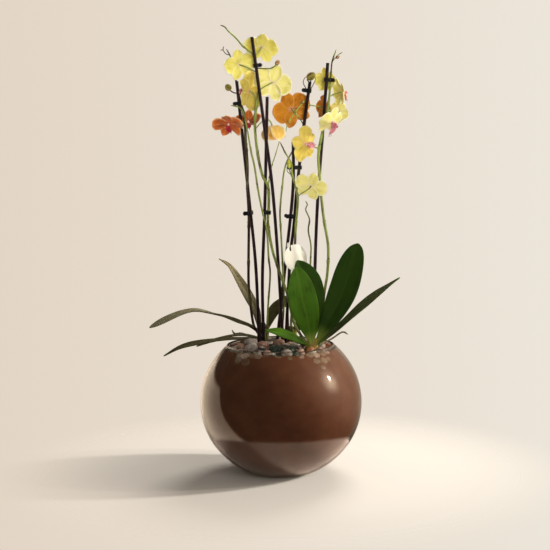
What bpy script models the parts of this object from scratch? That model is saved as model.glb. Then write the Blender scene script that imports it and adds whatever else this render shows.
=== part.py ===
"""Potted orchid: three moth orchids planted together in a clear glass globe of potting soil.

Frame: metres, +Z up, origin at the centre of the bowl's flat base. -Y is the front and +X the right.
Everything above the soil is placed from the middle of the soil's surface: (right, back, up) in mm.
"""

import math

import bmesh
import bpy
from mathutils import Matrix, Vector

MM = 0.001

# ---- Driving dimensions, in metres -------------------------------------------------------------
BOWL_DIAMETER = 250 * MM
BOWL_HEIGHT = 198 * MM
MOUTH_DIAMETER = 162 * MM  # outside of the rim
BASE_DIAMETER = 104 * MM  # flat foot
GLASS_WALL = 4 * MM
GLASS_BASE = 9 * MM
SEAT_GAP = 0.3 * MM  # between pieces that touch
SOIL_DROP = 9 * MM  # rim to the middle of the soil's surface
SOIL_SHOULDER = 4 * MM  # how much lower the soil is at the glass
SOIL_KNEE = 0.6  # share of the way out where it starts to fall away
BED_DEPTH = 7 * MM  # mean depth of the pebble layer
PEBBLE_HEIGHT = 6 * MM  # how far the pebbles stand up out of that
STAKE_DIAMETER = 5.2 * MM
STAKE_BURIED = 110 * MM
SPIKE_DIAMETER = 4.2 * MM
SPIKE_TIP_DIAMETER = 1.8 * MM
PEDICEL_DIAMETER = 1.9 * MM
CROWN_DIAMETER = 15 * MM
CROWN_BURIED = 14 * MM
FOOT_BURIED = 5 * MM  # how far a flower spike's foot goes into the soil beside its crown
LEAF_THICKNESS = 2.4 * MM
PETAL_THICKNESS = 1.2 * MM
LIP_LENGTH = 15 * MM
CLIP_BAND = 1.3 * MM  # thickness of a clip's band
CLIP_HEIGHT = 6 * MM
CLIP_CLEARANCE = 1.2 * MM
STEM_GAP = 1.4 * MM  # between a stake and a spike tied against it
CLIP_TAB_DIAMETER = 6.4 * MM
TAG_DIAMETER = 41 * MM
TAG_THICKNESS = 0.9 * MM
TAG_TURN = 32  # degrees that its face turns to the right, and tips up
TAG_TIP = 8

# Mesh fineness
BOWL_SIDES = 40
WALL_STEPS = 10
ROUTE_STEP = 20 * MM
PETAL_RIM_POINTS = 30

SOIL_TOP = BOWL_HEIGHT - SOIL_DROP
STAKE_R = STAKE_DIAMETER / 2
SPIKE_R = SPIKE_DIAMETER / 2
CROWN_R = CROWN_DIAMETER / 2

# ---- Planting plan: (right, back, up) in mm from the middle of the soil's surface --------------
CROWNS = {  # (right, back), height above the soil
    "crown_left": ((-26, 34), 34),
    "crown_middle": ((18, 46), 26),
    "crown_right": ((49, -24), 20),
}

# A stem's point is (right, back, up), or ("beside", stake, up, side, room), which lies that much room
# in mm off that stake; side is in degrees, 0 to the right and 90 to the back.
STAKES = {  # top to foot; a stake can lean on one above it in the list
    "stake_left": [(-63, 6, 411), (-47, 10, 240), (-37, 13, 127), (-33, 16, 0)],
    "stake_front": [(-39, -8, 476), (-21, -6, 337), (-10, -2, 246), (-2, 6, 127), (4, 22, 0)],
    "stake_centre": [(-17, 4, 387), (-22, 5, 225), (-27, 12, 107), (-26, 18, 0)],
    "stake_short": [(22, 6, 319), (21, 6, 246), (9, 14, 134), (-6, 34, 0)],
    "stake_leaning": [(48, 6, 409), (39, 6, 347), ("beside", "stake_short", 250, 15),
                      ("beside", "stake_short", 190, 10), ("beside", "stake_short", 134, 5), (8, 32, 0)],
    "stake_right": [(75, 4, 437), (67, 4, 335), (57, 4, 200), (50, 4, 0)],
}

# A spike's route runs from its foot up.
SPIKES = {  # crown and side of the foot, thickness as a share of SPIKE_DIAMETER, route
    "spike_left": ("crown_left", 262, 1.0, [
        (-38, 22, 28), (-43, 15, 45), (-48, 9, 95), (-48, 8, 139), (-47, 5, 186), (-47, 4, 214),
        ("beside", "stake_left", 250, 265), ("beside", "stake_left", 284, 300),
        ("beside", "stake_left", 322, 315), ("beside", "stake_left", 356, 350),
        ("beside", "stake_left", 385, 75), (-64, 15, 408), (-66, 32, 430), (-73, 36, 450),
        (-79, 35, 461)]),
    "spike_thin": ("crown_left", 300, 0.7, [
        (-19, 17, 60), (-15, 9, 115), (-17, -1, 142), (-18, -6, 165), (-20, -7, 190), (-25, -5, 210),
        (-32, -4, 246), (-37, -3, 281), (-42, -3, 304), (-47, -2, 334), (-51, -2, 354),
        (-57, -2, 370), (-72, -2, 375)]),
    "spike_arching": ("crown_right", 172, 1.0, [
        (31, -23, 26), (20, -20, 47), (12, -17, 85), (0, -9, 120), (-11, 0, 154),
        ("beside", "stake_centre", 195, 345), ("beside", "stake_centre", 225, 350),
        (-17, 0, 252), (-25, -2, 268), (-32, -1, 300), (-36, 0, 341), (-34, -1, 370),
        ("beside", "stake_front", 400, 95), ("beside", "stake_front", 446, 100),
        (-45, -2, 457), (-54, -4, 464), (-62, -5, 474), (-73, -7, 484), (-80, -8, 492),
        (-86, -8, 494)]),
    "spike_upright": ("crown_middle", 205, 0.7, [
        (4, 29, 30), (5, 20, 50), (6, 14, 74), (5, 10, 117), (2, 12, 185), (1, 13, 211), (4, 14, 244),
        (10, 14, 283), (25, 14, 311), (31, 14, 317)]),
    "spike_crossing": ("crown_middle", 285, 0.9, [
        (17, 29, 35), (19, 20, 67), (21, 8, 107), (23, 1, 150), (25, -3, 192),
        (28, -4, 226), (27, -4, 244), (20, -3, 270), (19, -2, 286), (9, -1, 304), (2, 0, 319)]),
    "spike_leaning": ("crown_middle", 120, 0.9, [
        (12, 44, 60), ("beside", "stake_leaning", 134, 80), ("beside", "stake_leaning", 190, 90, 3),
        (27, 18, 250), (32, 18, 290), ("beside", "stake_leaning", 340, 100),
        ("beside", "stake_leaning", 398, 100), (50, 13, 412)]),
    "spike_right": ("crown_right", 52, 1.0, [
        (60, -8, 30), (68, -5, 89), (73, -4, 121), (74, -3, 161), (68, -2, 200),
        ("beside", "stake_right", 238, 315), ("beside", "stake_right", 268, 270),
        (60, -4, 301), (67, -4, 337), ("beside", "stake_right", 368, 330),
        ("beside", "stake_right", 395, 0), ("beside", "stake_right", 426, 0),
        (82, 3, 441), (88, 2, 457)]),
    "spike_bare": ("crown_right", 138, 0.6, [
        (46, -9, 32), (48, -4, 78), (47, -1, 131), (48, 1, 160), (44, 2, 184), (46, 2, 201),
        (40, 2, 216), (43, 2, 223), (40, 2, 229)]),
}

# Flowers: face centre, the way the face looks, its turn about that axis in degrees, its span and how
# far the petals bend back (below 0: forward), then the spike that bears it and how high up on it.
FLOWERS = {
    "flower_01": ((-25, 20, 463), (0.15, 0.85, 0.5), 10, 54, 0.10, "spike_arching", 446),
    "flower_02": ((-58, 10, 436), (-0.3, 0.92, 0.15), -15, 50, 0.06, "spike_arching", 423),
    "flower_03": ((-45, 12, 396), (-0.75, 0.65, 0.0), 84, 62, 0.08, "spike_arching", 362),
    "flower_04": ((-8, 14, 409), (0.2, 0.95, 0.1), 20, 62, 0.08, "spike_arching", 396),
    "flower_05": ((-75, -17, 347), (-0.2, -0.66, -0.72), 0, 50, -0.14, "spike_left", 345),
    "flower_06": ((-47, 28, 351), (0.2, -0.62, -0.75), 10, 44, 0.12, "spike_left", 370),
    "flower_07": ((-10, 35, 343), (0.2, 0.05, -0.97), 0, 42, -0.6, "spike_arching", 338),
    "flower_08": ((20, 26, 369), (-0.2, 0.95, 0.15), -30, 62, 0.10, "spike_leaning", 345),
    "flower_09": ((72, 36, 371), (0.85, 0.52, 0.0), 0, 40, 0.12, "spike_leaning", 374),
    "flower_10": ((74, 31, 413), (0.6, 0.8, 0.1), 0, 40, 0.12, "spike_right", 399),
    "flower_11": ((96, 5, 393), (0.9, 0.3, 0.1), 0, 46, 0.12, "spike_right", 386),
    "flower_12": ((94, 24, 364), (0.5, 0.85, 0.1), 30, 35, 0.10, "spike_right", 366),
    "flower_13": ((80, -26, 349), (0.6, -0.55, -0.6), 0, 48, 0.10, "spike_right", 320),
    "flower_14": ((40, -26, 316), (0.72, -0.68, -0.1), 80, 56, 0.06, "spike_right", 308),
    "flower_15": ((48, -20, 253), (0.25, 0.85, 0.45), 25, 50, 0.0, "spike_crossing", 236),
}

# Buds: centre, length, width and the way the bud points, then its spike and how high up on it.
BUDS = {
    "bud_left": ((-76, 4, 402), 11, 10, (-0.6, 0, 0.8), "spike_left", 392),
    "bud_top": ((-1, -8, 438), 9, 7, (0.6, 0, 0.8), "spike_arching", 430),
    "bud_small": ((90, 2, 446), 7, 5, (0.9, 0, 0.4), "spike_right", 434),
    "bud_green": ((15, -9, 286), 13, 7, (-0.1, 0, 1), "spike_crossing", 256),
    "bud_leaning": ((51, 12, 419), 16, 14, (0.3, 0, 1), "spike_leaning", 408),
}
# Bare side twigs of a spike: (height of the fork, points)
TWIGS = {
    "spike_arching": [(252, [(-12, 6, 279), (-5, 8, 300), (1, 9, 320)])],
    "spike_leaning": [(378, [(38, 9, 380), (36, 0, 377), (30, -4, 370), (14, -8, 347), (11, -8, 335)])],
}

# Leaves: crown and side (degrees), height of the base, route, width, the way the upper face looks near
# the base and near the tip, how far along it is widest, and how sharp its tip is (0.5 round, 1 pointed).
LEAVES = {
    "leaf_left_long": ("crown_left", 185, 22, [(-47, 29, 33), (-63, 23, 40), (-84, 18, 49), (-109, 13, 56),
                                              (-130, 10, 60), (-150, 8, 57), (-173, 4, 49), (-202, 0, 36)],
                       25, (0.1, 0.6, 0.8), (-0.2, -0.5, 0.85), 0.7, 0.7),
    "leaf_left_upper": ("crown_left", 145, 27, [(-38, 40, 56), (-50, 41, 80), (-63, 42, 102), (-79, 42, 127),
                                               (-95, 40, 138)],
                        17, (0.3, -0.9, 0.25), (0.6, -0.7, 0.3), 0.36, 0.9),
    "leaf_left_low": ("crown_left", 198, 15, [(-58, 24, 14), (-78, 18, 14), (-116, 10, 12), (-151, 4, 5),
                                             (-181, -2, -8)],
                      17, (0, -0.1, 1), (0, -0.3, 1), 0.55, 0.8),
    "leaf_left_under": ("crown_left", 155, 13, [(-56, 44, 16), (-80, 42, 15), (-106, 38, 8), (-132, 34, 1)],
                        15, (0, -0.1, 1), (0, -0.1, 1), 0.55, 0.8),
    "leaf_left_back": ("crown_left", 40, 27, [(-9, 50, 54), (5, 56, 65), (20, 60, 69), (42, 64, 63)],
                       24, (-0.3, -0.5, 0.8), (0.1, -0.6, 0.8), 0.5, 0.7),
    "leaf_middle": ("crown_middle", 60, 17, [(32, 62, 30), (44, 72, 40), (58, 82, 44)],
                    22, (-0.2, -0.5, 0.9), (0, -0.5, 0.9), 0.5, 0.7),
    "leaf_right_front": ("crown_right", 262, 14, [(41, -38, 51), (34, -41, 82), (30, -41, 105),
                                                 (25, -38, 132)],
                         44, (-0.1, -0.95, 0.3), (0.1, -0.95, 0.2), 0.56, 0.6),
    "leaf_right_rear": ("crown_right", 98, 16, [(49, -13, 48), (46, -14, 79), (41, -16, 110),
                                               (26, -20, 140)],
                        46, (0.25, -0.95, 0.2), (0.2, -0.95, 0.2), 0.56, 0.6),
    "leaf_right_broad": ("crown_right", 8, 14, [(79, -18, 55), (97, -8, 92), (110, 2, 130), (121, 8, 163)],
                         46, (-0.1, -0.95, 0.3), (-0.4, -0.9, 0.2), 0.62, 0.52),
    "leaf_right_long": ("crown_right", 318, 12, [(68, -34, 22), (102, -36, 51), (127, -37, 73),
                                                (149, -38, 92), (181, -38, 115)],
                        25, (-0.5, -0.3, 0.85), (-0.45, -0.35, 0.8), 0.5, 0.9),
    "leaf_right_low": ("crown_right", 215, 12, [(28, -46, 21), (14, -52, 29), (-2, -56, 35), (-23, -58, 39)],
                       22, (0.1, -0.5, 0.85), (0.3, -0.5, 0.85), 0.5, 0.7),
}
ROOTS = {  # aerial roots: crown and side, height, route, diameter
    "root_left": ("crown_left", 228, 13, [(-46, 22, 17), (-60, 19, 23), (-71, 17, 23), (-75, 16, 29)], 3.0),
    "root_right": ("crown_right", 345, 10, [(68, -17, 14), (80, -12, 19), (95, -9, 28), (104, -7, 24)], 2.6),
}
# Clips: the stems that each holds, height, and the side its finger tabs stand on (degrees)
CLIPS = {
    "clip_1": (["stake_left", "spike_left"], 211, 180),
    "clip_2": (["stake_left", "spike_left"], 378, 190),
    "clip_3": (["stake_centre", "spike_arching"], 212, 280),
    "clip_4": (["stake_front", "spike_arching"], 434, 355),
    "clip_5": (["stake_short", "stake_leaning"], 280, 200),
    "clip_6": (["stake_short", "stake_leaning"], 205, 195),
    "clip_7": (["stake_right", "spike_right"], 250, 20),
    "clip_8": (["stake_leaning", "spike_leaning"], 396, 200),
    "clip_9": (["stake_right", "spike_right"], 412, 300),
}
TAG_CENTRE = (24, -9, 143)


# ---- Small tools --------------------------------------------------------------------------------
def clear_scene():
    for obj in list(bpy.data.objects):
        bpy.data.objects.remove(obj, do_unlink=True)


def planted(point):
    """A plan point, in mm from the middle of the soil's surface, as a place in metres."""
    return Vector((point[0] * MM, point[1] * MM, SOIL_TOP + point[2] * MM))


def around(centre, radius, side):
    """The point at that radius from centre, on that side in degrees."""
    turn = math.radians(side)
    return centre + Vector((radius * math.cos(turn), radius * math.sin(turn), 0))


def curve_through(points, step=ROUTE_STEP):
    """Points along one smooth (Catmull-Rom) curve through the given ones."""
    ends = [2 * points[0] - points[1], *points, 2 * points[-1] - points[-2]]
    made = [points[0]]
    for a, b, c, d in zip(ends, ends[1:], ends[2:], ends[3:]):
        parts = max(1, round((c - b).length / step))
        for i in range(1, parts + 1):
            t = i / parts
            made.append(0.5 * (2 * b + (c - a) * t + (2 * a - 5 * b + 4 * c - d) * t**2
                               + (3 * b - a - 3 * c + d) * t**3))
    return made


def at_height(route, height):
    """The point of a route at that height (a z), on its first stretch that passes it."""
    for a, b in zip(route, route[1:]):
        if (a.z - height) * (b.z - height) <= 0 and a.z != b.z:
            return a.lerp(b, (height - a.z) / (b.z - a.z))
    return min(route, key=lambda p: abs(p.z - height))


def material(name, colour, roughness, metallic=0.0):
    made = bpy.data.materials.get(name) or bpy.data.materials.new(name)
    made.use_nodes = True
    shader = made.node_tree.nodes["Principled BSDF"]
    shader.inputs["Base Color"].default_value = (*colour, 1)
    shader.inputs["Roughness"].default_value = roughness
    shader.inputs["Metallic"].default_value = metallic
    return made


def add_object(name, mesh, finish=None, smooth=True):
    obj = bpy.data.objects.new(name, mesh)
    bpy.context.scene.collection.objects.link(obj)
    if finish:
        mesh.materials.append(finish)
    if smooth:
        mesh.shade_smooth()
    return obj


def helper(obj):
    """A cutter or a piece that a Boolean joins to another: it is no node of its own."""
    obj.hide_render = True
    obj.display_type = "WIRE"
    return obj


def boolean(obj, operation, tools):
    for number, tool in enumerate(tools):
        cut = obj.modifiers.new(f"{operation.lower()}_{number}", "BOOLEAN")
        cut.operation = operation
        cut.solver = "EXACT"
        cut.object = tool


def turned(name, profile, sides):
    """A closed solid turned about Z from an (r, z) profile that starts and ends on the axis."""
    shape = bmesh.new()
    verts = [shape.verts.new((r, 0, z)) for r, z in profile]
    edges = [shape.edges.new(pair) for pair in zip(verts, verts[1:])]
    bmesh.ops.spin(shape, geom=verts + edges, axis=(0, 0, 1), cent=(0, 0, 0), angle=math.tau,
                   steps=sides, use_merge=True)
    bmesh.ops.remove_doubles(shape, verts=shape.verts, dist=1e-6)
    bmesh.ops.recalc_face_normals(shape, faces=shape.faces)
    mesh = bpy.data.meshes.new(name)
    shape.to_mesh(mesh)
    shape.free()
    return mesh


def tube(name, points, radii, resolution=1):
    """A round tube along the points as a mesh, with a radius at each and flat ends."""
    data = bpy.data.curves.new(name, "CURVE")
    data.dimensions = "3D"
    data.bevel_depth = 1.0
    data.bevel_resolution = resolution
    data.use_fill_caps = True
    line = data.splines.new("POLY")
    line.points.add(len(points) - 1)
    for spot, place, radius in zip(line.points, points, radii):
        spot.co = (*place, 1)
        spot.radius = radius
    guide = bpy.data.objects.new(name, data)
    bpy.context.scene.collection.objects.link(guide)
    mesh = bpy.data.meshes.new_from_object(guide)
    bpy.data.objects.remove(guide, do_unlink=True)
    shape = bmesh.new()
    shape.from_mesh(mesh)
    bmesh.ops.remove_doubles(shape, verts=shape.verts, dist=1e-6)
    bmesh.ops.recalc_face_normals(shape, faces=shape.faces)
    shape.to_mesh(mesh)
    shape.free()
    return mesh


def loft(name, rings):
    """A closed solid skinned over rings of points, with flat ends."""
    shape = bmesh.new()
    loops = []
    for ring in rings:
        verts = [shape.verts.new(p) for p in ring]
        loops.append([shape.edges.new((a, b)) for a, b in zip(verts, verts[1:] + verts[:1])])
    for a, b in zip(loops, loops[1:]):
        bmesh.ops.bridge_loops(shape, edges=a + b)
    for loop in (loops[0], loops[-1]):
        bmesh.ops.contextual_create(shape, geom=loop)
    bmesh.ops.recalc_face_normals(shape, faces=shape.faces)
    mesh = bpy.data.meshes.new(name)
    shape.to_mesh(mesh)
    shape.free()
    return mesh


def ball(name, centre, length, width, pointing, finish=None, sides=8, rows=6):
    """An egg-shaped solid, its length along pointing."""
    shape = bmesh.new()
    bmesh.ops.create_uvsphere(shape, u_segments=sides, v_segments=rows, radius=0.5)
    turn = Vector(pointing).to_track_quat("Z", "Y").to_matrix().to_4x4()
    grow = Matrix.Diagonal((width, width, length, 1))
    bmesh.ops.transform(shape, matrix=Matrix.Translation(centre) @ turn @ grow, verts=shape.verts)
    mesh = bpy.data.meshes.new(name)
    shape.to_mesh(mesh)
    shape.free()
    return add_object(name, mesh, finish)


# ---- Glass globe, soil and pebbles --------------------------------------------------------------
def wall_profile(inset, bottom, steps):
    """(r, z) points up the globe's wall from bottom to the rim, inset inside its outer face."""
    half, mouth, foot = BOWL_DIAMETER / 2, MOUTH_DIAMETER / 2, BASE_DIAMETER / 2
    low, high = (math.sqrt(1 - (r / half) ** 2) for r in (foot, mouth))
    tall = BOWL_HEIGHT / (low + high)
    middle = tall * low
    top = BOWL_HEIGHT - GLASS_WALL / 2
    first, last = (math.asin(max(-1.0, min(1.0, (z - middle) / (tall - inset)))) for z in (bottom, top))
    angles = [first + (last - first) * i / steps for i in range(steps + 1)]
    return [((half - inset) * math.cos(a), middle + (tall - inset) * math.sin(a)) for a in angles]


def inside_radius(z):
    """Radius at height z that clears the inside of the glass by SEAT_GAP."""
    wall = wall_profile(GLASS_WALL, GLASS_BASE, WALL_STEPS)
    for (r_low, z_low), (r_high, z_high) in zip(wall, wall[1:]):
        if z <= z_high:
            return r_low + (r_high - r_low) * (z - z_low) / (z_high - z_low) - 1.5 * SEAT_GAP
    return wall[-1][0] - 1.5 * SEAT_GAP


def make_bowl():
    outer = wall_profile(0, 0, WALL_STEPS)
    inner = wall_profile(GLASS_WALL, GLASS_BASE, WALL_STEPS)
    lip = ((outer[-1][0] + inner[-1][0]) / 2, BOWL_HEIGHT)
    profile = [(0, 0), *outer, lip, *reversed(inner), (0, GLASS_BASE)]
    glass = material("clear_glass", (0.9, 0.93, 0.92), 0.03)
    add_object("glass_bowl", turned("glass_bowl", profile, BOWL_SIDES), glass)


def soil_surface():
    """(r, z) points of the soil's surface from the middle out: flat, then falling to the glass."""
    edge = SOIL_TOP - SOIL_SHOULDER
    reach = inside_radius(edge)
    return [(0, SOIL_TOP), (SOIL_KNEE * reach, SOIL_TOP - 0.35 * SOIL_SHOULDER), (reach, edge)]


def make_soil():
    surface = soil_surface()
    floor = GLASS_BASE + SEAT_GAP
    inside = wall_profile(GLASS_WALL, GLASS_BASE, WALL_STEPS)
    wall = [(r, z) for r, z in inside if floor + MM < z < surface[-1][1]]
    sides = [(inside_radius(z), z) for z in [floor] + [z for _, z in wall]]
    brown = material("potting_soil", (0.085, 0.037, 0.018), 0.9)
    mesh = turned("potting_soil", [(0, floor), *sides, *reversed(surface)], BOWL_SIDES)
    return add_object("potting_soil", mesh, brown)


def make_pebble_bed():
    """The pebbles as one lumpy layer on the soil, from the middle out to the glass."""
    shares = [0.3, SOIL_KNEE, 0.8, 1.0]
    surface = soil_surface()
    reach, edge = surface[-1]
    shape = bmesh.new()
    levels = []
    for over in (False, True):
        hub = shape.verts.new((0, 0, SOIL_TOP + SEAT_GAP + (BED_DEPTH + 0.8 * PEBBLE_HEIGHT if over else 0)))
        rows = []
        for share in shares:
            row = []
            for s in range(BOWL_SIDES):
                turn = math.tau * s / BOWL_SIDES
                (r_in, z_in), (r_out, z_out) = surface[:2] if share <= SOIL_KNEE else surface[1:]
                z = z_in + (z_out - z_in) * (share * reach - r_in) / (r_out - r_in) + SEAT_GAP
                if over:
                    lump = math.sin(9 * turn + 7 * share) * math.cos(5 * turn - 11 * share)
                    z += BED_DEPTH + PEBBLE_HEIGHT * (0.5 + 0.5 * lump) * (1 - 0.5 * share)
                r = inside_radius(z) if share == 1.0 else share * reach * (0.96 if over else 1)
                row.append(shape.verts.new((r * math.cos(turn), r * math.sin(turn), z)))
            rows.append(row)
        levels.append((hub, rows))
    for hub, rows in levels:
        for s in range(BOWL_SIDES):
            n = (s + 1) % BOWL_SIDES
            shape.faces.new((hub, rows[0][s], rows[0][n]))
            for low, high in zip(rows, rows[1:]):
                shape.faces.new((low[s], high[s], high[n], low[n]))
    under, top = levels[0][1][-1], levels[1][1][-1]
    for s in range(BOWL_SIDES):
        n = (s + 1) % BOWL_SIDES
        shape.faces.new((under[s], under[n], top[n], top[s]))
    bmesh.ops.recalc_face_normals(shape, faces=shape.faces)
    bmesh.ops.triangulate(shape, faces=shape.faces)
    mesh = bpy.data.meshes.new("pebble_bed")
    shape.to_mesh(mesh)
    shape.free()
    return add_object("pebble_bed", mesh, material("pebbles", (0.32, 0.25, 0.2), 0.55))


# ---- Stems --------------------------------------------------------------------------------------
def stem_points(plan, radius):
    """A stem's plan as places, where radius is the stem's own."""
    points = []
    for spot in plan:
        if spot[0] == "beside":
            _, stake, up, side, *room = spot
            against = at_height(STAKE_ROUTES[stake], SOIL_TOP + up * MM)
            points.append(around(against, STAKE_R + radius + STEM_GAP + sum(room) * MM, side))
        else:
            points.append(planted(spot))
    return points


def stake_route(name):
    """A stake's centre line from its buried end up to its top."""
    above = curve_through(stem_points(STAKES[name][::-1], STAKE_R), 60 * MM)
    down = (above[0] - above[1]).normalized()
    return [above[0] + down * STAKE_BURIED, *above]


def crown_centre(name):
    (right, back), _ = CROWNS[name]
    return planted((right, back, 0))


def spike_route(name):
    """A spike's centre line, from its foot beside the crown up to its tip."""
    crown, side, _, plan = SPIKES[name]
    foot = around(crown_centre(crown), CROWN_R + SPIKE_R + 2 * SEAT_GAP, side)
    points = [foot - Vector((0, 0, FOOT_BURIED)), foot + Vector((0, 0, BED_DEPTH + PEBBLE_HEIGHT))]
    return curve_through(points + stem_points(plan, SPIKE_R))


def spike_radii(name, count):
    """Full thickness for most of the spike, thinning over its last quarter."""
    thick = SPIKE_R * SPIKES[name][2]
    tip = min(thick, SPIKE_TIP_DIAMETER / 2)
    shares = [max(0.0, (i / (count - 1) - 0.75) / 0.25) for i in range(count)]
    return [thick + (tip - thick) * s for s in shares]


STAKE_ROUTES = {}
for stake_name in STAKES:
    STAKE_ROUTES[stake_name] = stake_route(stake_name)
SPIKE_ROUTES = {name: spike_route(name) for name in SPIKES}


def stalk_points(start, end, arriving, bend=0.4):
    """A flower stalk's curve from the spike to a flower or bud, arriving along a given direction."""
    reach = (end - start).length
    b = end - arriving * reach * bend
    a = start.lerp(b, 0.45) + Vector((0, 0, 0.1 * reach))
    points = []
    for i in range(7):
        t = 1 - (1 - i / 6) ** 1.3
        s = 1 - t
        points.append(s**3 * start + 3 * s * s * t * a + 3 * s * t * t * b + t**3 * end)
    return points


def make_stake(name, finish):
    route = STAKE_ROUTES[name]
    radii = [STAKE_R] * len(route)
    radii[0] *= 0.35
    tip = route[0] + (route[1] - route[0]).normalized() * 12 * MM
    points = [route[0], tip, *route[1:]]
    add_object(name, tube(name, points, [radii[0], STAKE_R, *radii[1:]], 2), finish)


def make_spike(name, finish):
    """A flower spike with its flower stalks, buds and bare twigs, grown as one piece."""
    route = SPIKE_ROUTES[name]
    spike = add_object(name, tube(name, route, spike_radii(name, len(route))), finish)
    joined = []
    stalk_r = PEDICEL_DIAMETER / 2
    for flower, (centre, face, _, _, _, bearer, up) in FLOWERS.items():
        if bearer != name:
            continue
        looks = Vector(face).normalized()
        end = planted(centre) - looks * (PETAL_THICKNESS / 2 + 2 * SEAT_GAP)
        start = at_height(route, SOIL_TOP + up * MM)
        points = stalk_points(start, end, looks)
        joined.append(tube(f"stalk_{flower}", points, [stalk_r] * len(points)))
    for fork, twig in TWIGS.get(name, []):
        points = curve_through([at_height(route, SOIL_TOP + fork * MM), *[planted(p) for p in twig]])
        radii = [SPIKE_R * 0.62 + (0.6 * MM - SPIKE_R * 0.62) * i / (len(points) - 1)
                 for i in range(len(points))]
        joined.append(tube(f"twig_{name}_{fork}", points, radii))
    tools = [helper(add_object(mesh.name, mesh)) for mesh in joined]
    for bud, (centre, length, width, points_to, bearer, up) in BUDS.items():
        if bearer != name:
            continue
        start = at_height(route, SOIL_TOP + up * MM)
        way = Vector(points_to).normalized()
        middle = planted(centre)
        stalk = stalk_points(start, middle - way * length * 0.3 * MM, way)
        mesh = tube(f"stalk_{bud}", stalk, [stalk_r] * len(stalk))
        tools.append(helper(add_object(mesh.name, mesh)))
        tools.append(helper(ball(bud, middle, length * MM, width * MM, way)))
    boolean(spike, "UNION", tools)


# ---- Crowns, leaves and roots -------------------------------------------------------------------
def make_crown(name, finish):
    _, up = CROWNS[name]
    centre = crown_centre(name)
    heights = [(-CROWN_BURIED, 0.7), (-0.3 * CROWN_BURIED, 1), (0.6 * up * MM, 1), (up * MM, 0.6)]
    profile = [(0, heights[0][0])] + [(CROWN_R * share, h) for h, share in heights] + [(0, heights[-1][0])]
    mesh = turned(name, profile, 12)
    mesh.transform(Matrix.Translation(centre))
    add_object(name, mesh, finish)


def blade_rings(route, width, face_root, face_tip, widest, tip, keel=0.16):
    """Sections of a leaf: narrow where it clasps the crown, then swelling to its widest, then its tip.
    Each is a shallow V with the leaf's thickness at the midrib, thinning to its edges."""
    rings = []
    count = len(route)
    for i, place in enumerate(route):
        t = i / (count - 1)
        along = (route[min(i + 1, count - 1)] - route[max(i - 1, 0)]).normalized()
        face = Vector(face_root).lerp(Vector(face_tip), t)
        side = along.cross(face).normalized()
        up = side.cross(along).normalized()
        past = (t - widest) / (1 - widest)
        swell = math.sin(math.pi * t / widest / 2) if past < 0 else max(0.0, 1 - past**2) ** tip
        clasp = 5 * MM / width  # every leaf starts about that wide on its crown
        half = width / 2 * max(0.05, clasp + (1 - clasp) * swell if t < widest else swell)
        thick = LEAF_THICKNESS / 2 * (1 if t < 0.9 else 0.6)
        lift = keel * half
        over, under = lift / 2 + thick * 0.8, lift / 2 - thick * 0.8
        section = [(-half, lift), (-half / 2, over), (0, thick), (half / 2, over),
                   (half, lift), (half / 2, under), (0, -thick), (-half / 2, under)]
        rings.append([place + side * a + up * b for a, b in section])
    return rings


def make_leaf(name, finish):
    crown, side, up, route, width, face_root, face_tip, widest, tip = LEAVES[name]
    base = around(crown_centre(crown), CROWN_R + SEAT_GAP + LEAF_THICKNESS / 2, side)
    base.z += up * MM
    line = curve_through([base, *[planted(p) for p in route]], 22 * MM)
    add_object(name, loft(name, blade_rings(line, width * MM, face_root, face_tip, widest, tip)), finish)


def make_root(name, finish):
    crown, side, up, route, across = ROOTS[name]
    base = around(crown_centre(crown), CROWN_R + SEAT_GAP + 0.3 * across * MM, side)
    base.z += up * MM
    line = curve_through([base, *[planted(p) for p in route]], 12 * MM)
    radii = [across * MM / 2] * (len(line) - 1) + [across * MM / 4]
    add_object(name, tube(name, line, radii), finish)


# ---- Flowers ------------------------------------------------------------------------------------
def flower_reach(turn):
    """Share of half the span that the flower reaches at an angle: two broad petals and three sepals."""
    lobes = [(8, 1.0, 0.52), (172, 1.0, 0.52), (90, 0.96, 0.37), (234, 0.94, 0.36), (306, 0.94, 0.36)]
    best = 0.3
    for middle, length, half_width in lobes:
        off = math.radians((turn - middle + 180) % 360 - 180)
        if abs(off) < math.pi / 2:
            across, along = (half_width * math.cos(off)) ** 2, (length / 2 * math.sin(off)) ** 2
            best = max(best, length * half_width**2 * math.cos(off) / (across + along))
    return best


def flower_frame(centre, face, turn):
    """A matrix with X to the flower's right, Y up its face and Z out of it."""
    out = Vector(face).normalized()
    right = Vector((0, 0, 1)).cross(out)
    right = right.normalized() if right.length > 0.05 else Vector((1, 0, 0))
    up = out.cross(right).normalized()
    base = Matrix((right, up, out)).transposed().to_4x4()
    return Matrix.Translation(planted(centre)) @ base @ Matrix.Rotation(math.radians(turn), 4, "Z")


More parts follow.
